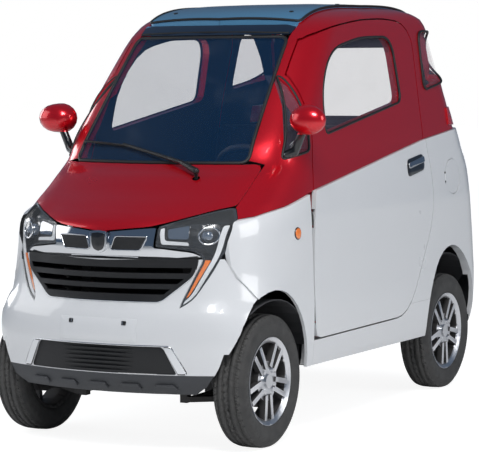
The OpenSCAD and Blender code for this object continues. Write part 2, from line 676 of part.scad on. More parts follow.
module windscreen() {
    color([0.16, 0.24, 0.38, 0.6]) intersection() {
        layer(2, 2 + glass_t + 3);
        front_grown(screen_line, -seam);
    }
}

module roof_panels() {
    color([0.25, 0.47, 0.72]) intersection() {
        layer(0, roof_t);
        translate([0, 0, 1560]) linear_extrude(200) offset(delta = -seam) polygon(roof_line);
    }
    color([0.05, 0.12, 0.30]) intersection() {
        layer(1.5, roof_t / 2);
        front_grown(header_line, -seam, nose, door_y + 420);
        translate([0, 0, 1500]) linear_extrude(200) polygon(roof_front_side);
    }
}
// The plan area ahead of the roof panel's front edge
roof_front_side = concat([[700, nose + 600], [700, nose + 1000 - seam], [350, nose + 1000 - seam]], [[0, nose + 965 - seam]],
                         [[-350, nose + 1000 - seam], [-700, nose + 1000 - seam], [-700, nose + 600]]);

module body_uppers() {
    color([0.55, 0.02, 0.05]) difference() {
        intersection() {
            layer(red_in, wall_t);
            above_tone(seam);
        }
        // door openings, leaving the windscreen's pillars
        difference() {
            side_grown(door_line, shut_gap);
            front_grown(screen_line, pillar_w);
        }
        both() side_cut(quarter_line, 300, 700);
        both() side_cut(rear_window_line, 400, 700);
        front_grown(screen_line, 0);
        front_grown(header_line, 0, nose, door_y + 420);
        front_cut([[-441, 500], [441, 500], [441, 1056], [384, 1070], [-384, 1070], [-441, 1056]]);
        both() front_cut(lamp_line);
        translate([0, 0, 1540]) linear_extrude(200) polygon(roof_line);
        front_grown(tailgate_line, shut_gap, tail - 420, tail + 50);
        both() front_cut(rounded(TAIL_LAMP), tail - 300, tail + 50);
        translate([-345, nose, 1500]) cube([690, 1010, 200]);
        gate_hinge_seats();
        // cabin side of the nose stays open
        translate([-700, nose, 700]) cube([1400, front_axle + 200 - nose, 150]);
    }
}

pillar_w = 32;
// Notches for the tailgate's hinges
module gate_hinge_seats() {
    both() translate([gate_hinge_x, gate_hinge_y, gate_hinge_z]) {
        translate([-13.8, -32, -60]) cube([27.6, 60, 120]);
        translate([-24, -46.3, -5.3]) cube([48, 80, 60]);
    }
}

module rear_quarters() {
    color("white") difference() {
        intersection() {
            layer(white_out, wall_t - 15);
            below_tone(seam);
            union() {
                translate([-700, door_y + 400, sill_rear_z]) cube([1400, 1600, 900]);
                translate([-700, rear_axle_y + arch_rear_r - 30, skirt_z]) cube([1400, 1600, 900]);
            }
        }
        side_grown(door_line, shut_gap);
        rear_arches();
        front_grown(tailgate_line, shut_gap, tail - 420, tail + 50);
        rear_bumper_zone(seam);
        both() front_cut(rounded(TAIL_LAMP), tail - 300, tail + 50);
        flap_pocket();
    }
}

module rear_bumper_zone(d) {
    translate([-700, rear_axle_y + arch_rear_r - 60, -100]) cube([1400, 900, 640 + 100 + d]);
}

module rear_bumper() {
    color("white") difference() {
        intersection() {
            layer(white_out, skin_t + 4);
            rear_bumper_zone(0);
            translate([-700, 0, 260]) cube([1400, tail + 50, 500]);
        }
        rear_arches();
    }
}

module front_fenders() {
    color("white") difference() {
        intersection() {
            layer(white_out, skin_t);
            below_tone(seam);
            translate([-700, nose, 275]) cube([1400, sill_front - seam - nose, 900]);
        }
        side_grown(door_line, shut_gap + 2);
        front_arches();
        bumper_zone(seam);
        both() front_cut(lamp_line);
        front_cut([[-441, 500], [441, 500], [441, 1056], [-441, 1056]]);
    }
}

// The space in front of the bumper's side joint
module bumper_zone(d) {
    side_cut(concat([[nose - 50, 100], [nose - 50, 780]], [for (p = BUMPER_JOINT) [p[0] + d, p[1]]],
                    [[front_axle - 20, 470], [front_axle - 20, 100]]));
}

// Room swept by the front tyres' shoulders at full lock
module steer_room() {
    both() translate([kingpin_x, front_axle, 0]) {
        cylinder(h = 262, r = 273, $fn = 60);
        translate([0, 0, 261]) cylinder(h = 120, r1 = 273, r2 = 256, $fn = 60);
    }
}

module front_bumper() {
    color("white") difference() {
        intersection() {
            layer(0, skin_t);
            bumper_zone(0);
            translate([-700, nose - 50, skirt_z]) cube([1400, 600, 724 - skirt_z]);
        }
        front_arches();
        steer_room();
        both() front_cut(lamp_line);
        front_cut(rounded(mirrored(GRILLE)));
        front_cut(rounded(mirrored(LOWER_GRILLE)));
        both() front_grown(rounded(STRIP_LAMP), seam);
    }
}

module front_skirt() {
    color([0.2, 0.2, 0.21]) difference() {
        intersection() {
            layer(0, skin_t + 2);
            bumper_zone(0);
            translate([-700, nose - 50, 228]) cube([1400, 600, skirt_z - seam - 228]);
        }
        front_arches();
        steer_room();
        // raised slots along the lower edge
        for (x = [-270, -135, 0, 135, 270])
            translate([x, 0, 262]) front_cut(rounded([[-32, -5, 4], [32, -5, 4], [26, 6, 4], [-26, 6, 4]]), nose - 50, nose + 100);
    }
}

sill_front = door_y - shut_gap - 12 + seam;
module sills() {
    color("white") {
        difference() {
            intersection() {
                layer(white_out, wall_t);
                side_cut([[sill_front, 275], [rear_axle_y - arch_rear_r + 20, 262],
                          [rear_axle_y - arch_rear_r + 30, sill_rear_z - seam], [door_y + 400, sill_rear_z - seam],
                          [door_y + 400, sill_top], [sill_front, sill_top]]);
            }
            rear_arches();
            side_grown(door_line, shut_gap);
        }
        // pads against the outriggers' ends
        both() for (y = [door_y + 94, door_y + 704])
            translate([outrigger_end + seam, y, rail_z + 38]) cube([30, 32, 20]);
    }
}

module bonnet() {
    color([0.55, 0.02, 0.05]) difference() {
        intersection() {
            layer(0, skin_t);
            front_grown(bonnet_line, -seam, nose - 50, front_axle + 300);
        }
        translate([wiper_x, wiper_y, 900]) cylinder(h = 200, d = 30, $fn = 24);
    }
}

chrome_bow = 0.00062;
module chrome_trim() {
    // the bar's own plan curve stands out from the nose
    color("gainsboro") difference() {
        intersection() {
            front_cut(rounded(mirrored(CHROME)), nose - 50, front_axle + 200);
            translate([0, 0, 600]) linear_extrude(400)
                polygon([for (x = [-400:40:400]) [x, nose + 36 + chrome_bow * x * x], [400, nose + 400], [-400, nose + 400]]);
        }
        form(skin_t + 6);
        both() front_cut(rounded(CHROME_INSET), nose - 50, nose + 72);
        both() front_cut(lamp_line);
    }
    color("gainsboro") intersection() {
        front_cut(rounded(mirrored(SHIELD)), nose - 50, nose + 52);
        translate([0, 0, 600]) linear_extrude(400) polygon([[-60, nose + 28], [60, nose + 28], [60, nose + 70], [-60, nose + 70]]);
    }
}

module grilles() {
    color([0.06, 0.06, 0.06]) {
        difference() {
            intersection() {
                layer(-4, skin_t + 18);
                front_grown(rounded(mirrored(GRILLE)), -seam);
            }
            for (z = [596, 634, 674]) translate([-400, nose - 50, z]) intersection() {
                cube([800, 400, 20]);
                translate([400, 0, -z]) front_grown(rounded(mirrored(GRILLE)), -14, -50, 500);
            }
        }
        // lower mesh panel: upright ribs between rails
        intersection() {
            difference() {
                layer(6, skin_t + 14);
                for (z = [314:16:400]) translate([-300, nose - 50, z]) cube([600, 68, 9]);
            }
            front_grown(rounded(mirrored(LOWER_GRILLE)), -seam);
        }
    }
}

module headlamp_housings() {
    color([0.15, 0.15, 0.16]) both() {
        difference() {
            intersection() {
                form(glass_t);
                front_grown(lamp_line, -seam);
            }
            form(60);
            difference() {
                front_grown(lamp_line, -7);
                form(42);
            }
        }
        // projector bezel
        intersection() {
            translate([lamp_eye_x, lamp_eye_y, lamp_eye_z]) rotate([90, 0, 24]) cylinder(h = 44, d = 74, $fn = 28);
            form(glass_t + 2);
        }
    }
    // strip lamps beside the lower grille
    color("gainsboro") both() intersection() {
        layer(2, 20);
        front_grown(rounded(STRIP_LAMP), 0);
    }
}
lamp_eye_x = 402;
lamp_eye_y = front_axle - 168;
lamp_eye_z = 812;

module headlamp_lenses() {
    color([0.8, 0.85, 0.9, 0.4]) both() intersection() {
        layer(0, glass_t - 0.4);
        front_grown(lamp_line, -seam);
    }
}

module tail_lamps() {
    color([0.6, 0.0, 0.02]) both() intersection() {
        layer(0, 34);
        front_grown(rounded(TAIL_LAMP), -seam, tail - 300, tail + 50);
    }
}

module side_glass() {
    color([0.16, 0.2, 0.26, 0.6]) both() {
        intersection() {
            layer(red_in + 4, red_in + 4 + glass_t);
            side_grown(quarter_line, -seam, 300, 700);
        }
        intersection() {
            layer(red_in + 4, red_in + 4 + glass_t);
            side_grown(rear_window_line, -seam, 400, 700);
        }
    }
}

wiper_x = 237;
wiper_y = front_axle - 18;
mirror_x = 572;
mirror_y = front_axle + 259;
mirror_z = 1222;
module mirrors() {
    color([0.5, 0.02, 0.05]) both() difference() {
        union() {
            hull() {
                translate([mirror_x, mirror_y, mirror_z]) scale([1, 0.62, 0.76]) sphere(d = 150, $fn = 18);
                translate([mirror_x - 14, mirror_y + 22, mirror_z]) scale([1, 0.3, 0.8]) sphere(d = 150, $fn = 18);
            }
            // arm down to its foot on the pillar
            hull() {
                translate([mirror_x - 30, mirror_y + 8, mirror_z - 50]) sphere(d = 34, $fn = 10);
                translate([mirror_x - 62, mirror_y + 8, mirror_z - 122]) sphere(d = 36, $fn = 10);
            }
            hull() {
                translate([mirror_x - 62, mirror_y + 8, mirror_z - 122]) sphere(d = 36, $fn = 10);
                translate([mirror_x - 96, mirror_y - 20, mirror_z - 136]) sphere(d = 30, $fn = 10);
            }
        }
        form(red_in - 0.4);
    }
}

module wiper() {
    // spindle through the bonnet, arm and blade along the windscreen's foot
    color([0.05, 0.05, 0.05]) {
        hull() {
            translate([wiper_x, wiper_y, 1036]) sphere(d = 26, $fn = 12);
            translate([150, front_axle + 22, 1066]) sphere(d = 18, $fn = 12);
        }
        hull() {
            translate([150, front_axle + 22, 1066]) sphere(d = 16, $fn = 8);
            translate([-150, front_axle + 96, 1128]) sphere(d = 12, $fn = 8);
        }
        hull() {
            translate([-365, front_axle + 152, 1136]) sphere(d = 11, $fn = 8);
            translate([-98, front_axle + 86, 1119]) sphere(d = 11, $fn = 8);
        }
        translate([wiper_x, wiper_y, 960]) cylinder(h = 76, d = 14, $fn = 16);
    }
}

// Doors and tailgate

hinge_tilt = 2;
hinge_pin_d = 8;
hinge_low = 470;
hinge_high = 840;
hinge_in = 8;
hinge_y = door_y + 10;
hinge_x = half_w - hinge_in;
barrel_d = 16;
// The door's hinge line: leaning inwards with the side of the body
module on_hinge_line() {
    translate([hinge_x, hinge_y, hinge_low]) rotate([0, -hinge_tilt, 0]) children();
}
module hinge_pockets(d) {
    on_hinge_line() for (z = [0, hinge_high - hinge_low])
        translate([-60, -60, z - 34 - d]) cube([60 + barrel_d / 2 + d, 60 + barrel_d / 2 + d + 14, 68 + 2 * d]);
}

module door_skin() {
    difference() {
        intersection() {
            layer(white_out, white_out + 20);
            side_cut(door_line, 300, 700);
            below_tone(seam);
        }
        hinge_pockets(2);
    }
}
module door_frame() {
    difference() {
        union() {
            difference() {
                intersection() {
                    layer(red_in, wall_t);
                    side_cut(door_line, 300, 700);
                    above_tone(seam);
                }
                side_cut(window_line, 300, 700);
                front_grown(screen_line, pillar_w + shut_gap);
            }
            intersection() {
                layer(white_out + 20 + 0.5, wall_t - 1.5);
                side_cut(door_line, 300, 700);
                below_tone(-seam - 1);
            }
        }
        hinge_pockets(2);
    }
}
module door_glass() {
    intersection() {
        layer(red_in + 12, red_in + 12 + glass_t);
        side_grown(window_line, -seam, 300, 700);
    }
}
// Hinge barrels on the door and pins on the body
module door_hinge() {
    on_hinge_line() for (z = [0, hinge_high - hinge_low]) difference() {
        union() {
            translate([0, 0, z - 16]) cylinder(h = 32, d = barrel_d);
            translate([-barrel_d / 2, 0, z - 16]) cube([6, 23.7, 32]);
        }
        translate([0, 0, z - 17]) cylinder(h = 34, d = hinge_pin_d + 2 * pin_play);
    }
}
module hinge_bracket() {
    on_hinge_line() for (z = [0, hinge_high - hinge_low]) {
        translate([0, 0, z - 26]) cylinder(h = 52, d = hinge_pin_d);
        for (dz = [-26, 17]) translate([0, 0, z + dz]) {
            cylinder(h = 9, d = barrel_d);
            translate([-36, -8, 0]) cube([36, 16, 9]);
            translate([-36, -28, 0]) cube([12, 30, 9]);
        }
        // plate on the bulkhead's rear face
        translate([-70, firewall_y + floor_t + 0.3 - hinge_y, z - 26]) cube([46, 10, 52]);
    }
}

gate_hinge_x = 230;
gate_hinge_y = tail - 238;
gate_hinge_z = 1588;
module tailgate() {
    color([0.55, 0.02, 0.05]) difference() {
        intersection() {
            layer(0, wall_t - 10);
            front_cut(tailgate_line, tail - 420, tail + 50);
        }
        front_cut(rounded(mirrored(TAIL_WINDOW)), tail - 420, tail + 50);
        both() translate([gate_hinge_x, gate_hinge_y, gate_hinge_z]) gate_arm(0.3);
    }
}
module gate_arm(d) {
    translate([-12 - d, -24 - d, -42 - d]) cube([24 + 2 * d, 22 + 2 * d, 38 + 2 * d]);
}
module tailgate_glass() {
    color([0.16, 0.2, 0.26, 0.6]) intersection() {
        layer(6, 6 + glass_t);
        front_grown(rounded(mirrored(TAIL_WINDOW)), -seam, tail - 420, tail + 50);
    }
}
module tailgate_hinges() {
    color("dimgray") both() translate([gate_hinge_x, gate_hinge_y, gate_hinge_z]) difference() {
        union() {
            along_x(-12, 12) circle(d = 14);
            gate_arm(0);
            translate([-12, -8, -20]) cube([24, 8, 18]);
        }
        along_x(-13, 13) circle(d = hinge_pin_d + 2 * pin_play);
    }
}
module hinge_brackets() {
    color("dimgray") {
        both() hinge_bracket();
        flap_bracket();
        both() translate([gate_hinge_x, gate_hinge_y, gate_hinge_z]) {
            along_x(-24, 24) circle(d = hinge_pin_d);
            for (x = [-22, 14]) translate([x, 0, 0]) {
                along_x(0, 8) circle(d = 14);
                translate([0, -46, -5]) cube([8, 46, 12]);
            }
        }
    }
}

flap_d = 150;
flap_y = rear_axle_y + 33;
flap_z = 930;
flap_tilt = 3.4;
flap_t = 5;
flap_x = half_w - 17 + 6;
module at_flap() {
    translate([flap_x, flap_y, flap_z]) rotate([0, -flap_tilt, 0]) rotate([0, 90, 0]) children();
}
// Round recess for the flap, and a deeper well for the charging socket
module flap_pocket() {
    at_flap() {
        translate([0, 0, -8]) cylinder(h = 60, d = flap_d + shut_gap, $fn = 48);
        translate([0, 0, -30]) cylinder(h = 60, d = 96, $fn = 32);
        translate([-26, -flap_d / 2 - 12, -8]) cube([52, 30, 60]);
    }
}
flap_pin = flap_d / 2 + 3;
module charge_flap() {
    color("white") at_flap() {
        translate([0, 0, -flap_t]) cylinder(h = flap_t, d = flap_d);
        difference() {
            union() {
                translate([-15, -flap_pin, -1]) rotate([0, 90, 0]) cylinder(h = 30, d = 8);
                translate([-15, -flap_pin, -flap_t]) cube([30, 14, flap_t - 1]);
            }
            translate([-16, -flap_pin, -1]) rotate([0, 90, 0]) cylinder(h = 32, d = 4 + 2 * pin_play, $fn = 24);
        }
    }
}
// Pin and two ears on the recess floor
module flap_bracket() {
    at_flap() {
        translate([-23, -flap_pin, -1]) rotate([0, 90, 0]) cylinder(h = 46, d = 4, $fn = 24);
        for (x = [-23, 17]) translate([x, -flap_pin - 4, -7.7]) cube([6, 8, 9]);
    }
}

// Wheels

module tyre() {
    r = tyre_d / 2;
    h = tyre_w / 2;
    b = rim_d / 2 - 4;
    half = concat([[r, 0], [r, 6], [r - 5, 7], [r - 5, 12], [r - 0.3, 13], [r - 1, 34], [r - 6, 35], [r - 6, 39], [r - 2, 40]],
                  [[r - 5, 50], [r - 14, 57], [r - 30, h - 2], [r - 46, h], [r - 62, h - 3], [b + 8, rim_w / 2 + 1], [b, rim_w / 2 - 6]]);
    inner = [[b, rim_w / 2 - 18], [r - 30, h - 18], [r - 12, 30]];
    rotate([0, 90, 0]) rotate_extrude()
        polygon(concat(half, inner, [for (i = [2:-1:0]) [inner[i][0], -inner[i][1]]],
                       [for (i = [len(half) - 1:-1:1]) [half[i][0], -half[i][1]]]));
}
module tyre_front_left() { color([0.08, 0.08, 0.08]) translate([wheel_x, front_axle, axle_z]) tyre(); }
module tyre_front_right() { color([0.08, 0.08, 0.08]) translate([-wheel_x, front_axle, axle_z]) tyre(); }
module tyre_rear_left() { color([0.08, 0.08, 0.08]) translate([wheel_x, rear_axle_y, axle_z]) tyre(); }
module tyre_rear_right() { color([0.08, 0.08, 0.08]) translate([-wheel_x, rear_axle_y, axle_z]) tyre(); }

// Rim with its outer side towards +X: barrel, double spokes, hub and brake drum
module rim() {
    r = rim_d / 2;
    h = rim_w / 2;
    rotate([0, 90, 0]) {
        rotate_extrude() polygon([[r - 4.5, -h + 6], [r, -h], [r - 3, -h - 1], [r - 16, -h + 8], [r - 22, -10], [r - 22, h - 14],
                                          [r - 8, h - 2], [r - 3, h + 1], [r, h], [r - 4.5, h - 6], [r - 12, h - 16], [r - 17, h - 30], [r - 17, -h + 24], [r - 11, -h + 14]]);
        difference() {
            union() {
                translate([0, 0, hub_face - wheel_x - 1]) cylinder(h = 27, d = 150);
                intersection() {
                    for (k = [0:spoke_count - 1], side = [-1, 1]) rotate([0, 0, k * 360 / spoke_count]) spoke(side, r, h);
                    cylinder(h = h, r = r - 19);
                }
            }
            for (k = [0:stud_count - 1]) rotate([0, 0, 45 + k * 360 / stud_count]) translate([stud_pcd / 2, 0, -50]) cylinder(h = 140, d = stud_d);
            translate([0, 0, -60]) cylinder(h = stub_end - wheel_x + 60 + 1, d = stub_d + 2 * pin_play);
        }
        // brake drum behind the disc
        difference() {
            translate([0, 0, back_plate_x - wheel_x + 0.5]) cylinder(h = hub_face - back_plate_x - 0.5, d = drum_d);
            translate([0, 0, -60]) cylinder(h = stub_end - wheel_x + 61, d = stub_d + 2 * pin_play);
            for (k = [0:stud_count - 1]) rotate([0, 0, 45 + k * 360 / stud_count]) translate([stud_pcd / 2, 0, -10]) cylinder(h = 60, d = stud_d);
        }
    }
}
// One of a pair of spokes, from the hub to the barrel
module spoke(side, r, h) {
    translate([0, 0, h - 30]) linear_extrude(24)
        polygon([[52, side * 8], [52, side * 27], [r, side * 38], [r, side * 18]]);
}
module rim_front_left() { color("silver") translate([wheel_x, front_axle, axle_z]) rim(); }
module rim_front_right() { color("silver") translate([-wheel_x, front_axle, axle_z]) mirror([1, 0, 0]) rim(); }
module rim_rear_left() { color("silver") translate([wheel_x, rear_axle_y, axle_z]) rim(); }
module rim_rear_right() { color("silver") translate([-wheel_x, rear_axle_y, axle_z]) mirror([1, 0, 0]) rim(); }

module door_skin_left() { color("white") door_skin(); }
module door_skin_right() { color("white") mirror([1, 0, 0]) door_skin(); }
module door_frame_left() { color([0.55, 0.02, 0.05]) door_frame(); }
module door_frame_right() { color([0.55, 0.02, 0.05]) mirror([1, 0, 0]) door_frame(); }
module door_glass_left() { color([0.16, 0.2, 0.26, 0.6]) door_glass(); }
module door_glass_right() { color([0.16, 0.2, 0.26, 0.6]) mirror([1, 0, 0]) door_glass(); }
module door_hinge_left() { color("dimgray") door_hinge(); }
module door_hinge_right() { color("dimgray") mirror([1, 0, 0]) door_hinge(); }

chassis_frame();
floor_pan();
wheel_houses();
battery_pack();
rear_axle();
rear_suspension();
front_suspension();
steering_gear();
rack_bar();
steering_wheel();
dashboard();
seat_frames();
seat_cushions();
seat_backs();
windscreen();
roof_panels();
body_uppers();
rear_quarters();
rear_bumper();
front_fenders();
sills();
front_bumper();
front_skirt();
bonnet();
chrome_trim();
grilles();
headlamp_housings();
headlamp_lenses();
tail_lamps();
side_glass();
mirrors();
wiper();
hinge_brackets();
charge_flap();
door_skin_left();
door_skin_right();
door_frame_left();
door_frame_right();
door_glass_left();
door_glass_right();
door_hinge_left();
door_hinge_right();
tailgate();
tailgate_glass();
tailgate_hinges();
knuckle_left();
knuckle_right();
tyre_front_left();
tyre_front_right();
tyre_rear_left();
tyre_rear_right();
rim_front_left();
rim_front_right();
rim_rear_left();
rim_rear_right();
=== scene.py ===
"""Small closed electric quadricycle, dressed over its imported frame."""

import json
import math

import bpy
import numpy as np
from mathutils import Matrix, Vector
from mathutils.bvhtree import BVHTree
from mathutils.interpolate import poly_3d_calc


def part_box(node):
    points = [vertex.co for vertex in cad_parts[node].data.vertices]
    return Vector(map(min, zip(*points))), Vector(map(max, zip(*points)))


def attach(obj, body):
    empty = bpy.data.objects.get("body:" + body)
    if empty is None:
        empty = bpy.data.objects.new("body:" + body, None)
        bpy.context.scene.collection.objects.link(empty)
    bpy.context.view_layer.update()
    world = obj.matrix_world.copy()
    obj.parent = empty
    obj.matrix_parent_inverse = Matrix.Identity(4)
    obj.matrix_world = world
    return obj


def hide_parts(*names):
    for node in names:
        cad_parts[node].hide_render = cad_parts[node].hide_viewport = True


bl_info = {
    "name": "Electric Quadricycle",
    "version": (1, 0, 0),
    "blender": (4, 5, 0),
    "location": "View3D > Sidebar > Quadricycle",
    "description": "Dresses the frame of a small closed electric quadricycle",
    "category": "Add Mesh",
}

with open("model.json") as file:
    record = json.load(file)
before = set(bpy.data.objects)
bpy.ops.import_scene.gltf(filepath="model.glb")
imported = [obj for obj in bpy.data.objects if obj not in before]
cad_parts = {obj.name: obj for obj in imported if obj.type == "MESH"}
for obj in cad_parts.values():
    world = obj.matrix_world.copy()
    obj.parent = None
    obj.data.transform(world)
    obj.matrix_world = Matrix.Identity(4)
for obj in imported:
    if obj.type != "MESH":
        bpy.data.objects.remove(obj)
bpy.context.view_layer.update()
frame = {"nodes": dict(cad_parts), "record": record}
NODES = frame["nodes"]

HALF_W, NOSE, TAIL = 566.0, -1200.0, 1194.0  # of the body, in millimetres; what follows is in metres
FRONT_AXLE, REAR_AXLE, AXLE_Z, WHEEL_X = -0.835, 0.822, 0.252, 0.482
DOOR_Y = -513.0  # the door's front edge, from which the side outlines are measured, in millimetres
ROOF_SPLIT_Y = -0.236  # ahead of this the roof is the dark header strip
MIRROR_SPLIT_Z = 1.166  # below this height the mirror shells are black
COLOUR_EDGE = 0.002  # width over which one lacquer goes into the next
WELD = 0.00002  # CAD points nearer than this are merged
LIES_ALONG = 0.93  # how nearly a face follows the body form before it is shaded smooth
LOUVRE_GAP, LOWER_GAP = 36, 38  # points of the closing stretch that the two edge wires leave out
NUT_CIRCLE = 0.050
PROJECTOR_X, PROJECTOR_Z = 402, 812
MARKER_Y, MARKER_Z = -650, 794
SHIELD_Z = 787
CAMERA_AT, LENS = (4.4083, -8.1547, 1.4953), 167.54
CAMERA_TURN, CAMERA_LIFT, CAMERA_ROLL = 28.632, 4.548, -0.53
# Lights: name, place, size in metres, power in watts.
LIGHTS = (("key", (2.2, -3.4, 4.6), 1.8, 170), ("side", (5.2, 0.2, 2.4), 2.2, 55),
          ("fill", (-4.6, -2.4, 2.6), 3.0, 45), ("rim", (-5.5, 1.2, 2.2), 2.4, 60))

# The body's plan outlines: height, nose set back, tail set in, side set in, depth of the front bow,
# front corner across, front corner along, beak at the centre, in millimetres.
SECTIONS = [
    [215, 40, 70, 36, 140, 190, 120, 0], [260, 8, 35, 16, 140, 190, 120, 0],
    [330, 0, 10, 6, 140, 190, 120, 0], [450, 0, 0, 0, 140, 190, 130, 0],
    [520, 12, 0, 0, 140, 190, 190, 0], [575, 40, 2, 2, 135, 195, 290, 12],
    [650, 58, 8, 4, 130, 200, 390, 25], [740, 67, 15, 6, 130, 210, 420, 35],
    [845, 78, 22, 10, 135, 215, 440, 30], [905, 150, 30, 14, 150, 205, 400, 15],
    [960, 235, 40, 19, 165, 190, 350, 0], [1010, 315, 54, 26, 160, 175, 300, 0],
    [1055, 400, 70, 34, 140, 160, 230, 0], [1150, 484, 105, 44, 125, 145, 170, 0],
    [1250, 572, 138, 58, 120, 135, 160, 0], [1350, 662, 168, 74, 115, 130, 155, 0],
    [1450, 754, 198, 91, 110, 120, 150, 0], [1543, 848, 228, 106, 105, 115, 145, 0],
    [1590, 915, 245, 116, 100, 115, 150, 0], [1618, 972, 265, 126, 95, 110, 190, 0],
    [1640, 1035, 320, 142, 90, 110, 240, 0], [1658, 1120, 410, 168, 80, 105, 260, 0],
    [1672, 1260, 550, 231, 60, 95, 200, 0], [1680, 1430, 720, 386, 25, 50, 60, 0]]

# Outlines of panes, lamps and trim. Columns: place along or across, height, corner length, in millimetres.
WINDSCREEN = [[0, 1064, 0], [384, 1064, 30], [344, 1543, 30], [0, 1543, 0]]
DOOR_WINDOW = [[205, 1158, 30], [220, 1330, 90], [352, 1492, 120], [640, 1538, 80], [905, 1542, 55],
               [950, 1490, 40], [952, 1268, 40]]
QUARTER_LIGHT = [[-110, 1075, 18], [55, 1100, 25], [66, 1300, 30], [84, 1405, 30]]
REAR_WINDOW = [[1200, 1310, 40], [1225, 1565, 50], [1420, 1562, 70], [1490, 1400, 90], [1435, 1345, 60]]
TAIL_WINDOW = [[0, 1180, 0], [330, 1180, 40], [292, 1500, 50], [0, 1500, 0]]
BAR = [[0, 724, 0], [170, 724, 20], [380, 733, 10], [353, 749, 15], [212, 767, 10], [219, 840, 10],
       [104, 830, 40], [0, 819, 0]]
BAR_MESH = [[45, 757, 12], [166, 757, 14], [190, 808, 10], [62, 808, 12]]
SHIELD = [[0, 744, 0], [26, 752, 12], [36, 780, 12], [36, 826, 6], [0, 830, 0]]
STRIP_LAMP = [[272, 404, 4], [300, 404, 14], [352, 312, 12], [346, 308, 4], [322, 308, 2]]
RUNNING_LAMP = [[459, 850, 6], [441, 737, 50], [363, 586, 30], [324, 556, 5], [328, 571, 10],
                [352, 594, 20], [426, 741, 40], [443, 848, 5]]
TURN_LAMP = [[390, 722, 4], [414, 722, 6], [346, 594, 12], [326, 577, 5]]
LIGHT_GUIDE = [[230, 838, 5], [246, 842, 4], [250, 792, 10], [330, 786, 5], [334, 774, 4], [237, 779, 10]]
REFLECTOR = [[257, 838, 8], [330, 856, 12], [332, 798, 12], [262, 799, 10]]
HANDLE_CUP = [[388, 950, 24], [562, 974, 28], [566, 1042, 30], [392, 1022, 30]]
HANDLE_BAR = [[398, 984, 8], [556, 1006, 8], [556, 1030, 9], [398, 1008, 9]]
ROOF_EDGE = [[0, -235, 0], [350, -200, 20], [352, 774, 60], [335, 894, 40], [0, 909, 0]]
HEADER_EDGE = [[-340, 1556], [-200, 1560], [0, 1562], [200, 1560], [340, 1556]]
LOUVRE_EDGE = [[-364, 722, 5], [-362, 668, 30], [-286, 604, 30], [-245, 568, 20],
               [245, 568, 20], [286, 604, 30], [362, 668, 30], [364, 722, 5]]
LOWER_EDGE = [[-352, 306, 5], [-300, 409, 18], [300, 409, 18], [352, 306, 5]]


# ---------------------------------------------------------------- sizes and colours a user may change


def colour(name, description, default):
    return bpy.props.FloatVectorProperty(name=name, description=description, subtype="COLOR", size=3,
                                         min=0, max=1, default=default)


class PaintSizes(bpy.types.PropertyGroup):
    """Colours of the lacquers"""
    upper: colour("Upper colour", "Lacquer of the bonnet, pillars and mirrors", (0.62, 0.002, 0.012))
    lower: colour("Lower colour", "Lacquer of the fenders, doors and bumpers", (0.80, 0.81, 0.83))
    roof: colour("Roof colour", "Lacquer of the roof panel", (0.09, 0.27, 0.46))


class TrimSizes(bpy.types.PropertyGroup):
    """Sizes of the trim and fineness of the panels"""
    seal: bpy.props.FloatProperty(name="Seal", description="Radius of the rubber seals round the panes",
                                  unit="LENGTH", min=0.003, max=0.01, default=0.0055)
    cut: bpy.props.FloatProperty(name="Facet", description="Spacing of the cuts that let a panel follow the body",
                                 unit="LENGTH", min=0.02, max=0.08, default=0.036)


# ---------------------------------------------------------------- shader maths


class Wire:
    """A socket that takes part in arithmetic."""

    def __init__(self, finish, socket):
        self.finish, self.socket = finish, socket

    def math(self, operation, *others):
        return self.finish.node("ShaderNodeMath", {"operation": operation}, dict(enumerate((self, *others))))

    def __add__(self, other): return self.math("ADD", other)
    def __sub__(self, other): return self.math("SUBTRACT", other)
    def __rsub__(self, other): return self.finish.node("ShaderNodeMath", {"operation": "SUBTRACT"}, {0: other, 1: self})
    def __mul__(self, other): return self.math("MULTIPLY", other)
    __radd__, __rmul__ = __add__, __mul__

    def above(self, edge, soft):
        """0 below edge, 1 from edge + soft on."""
        return self.finish.node("ShaderNodeMapRange", {"clamp": True}, {0: self, 1: edge, 2: edge + soft})


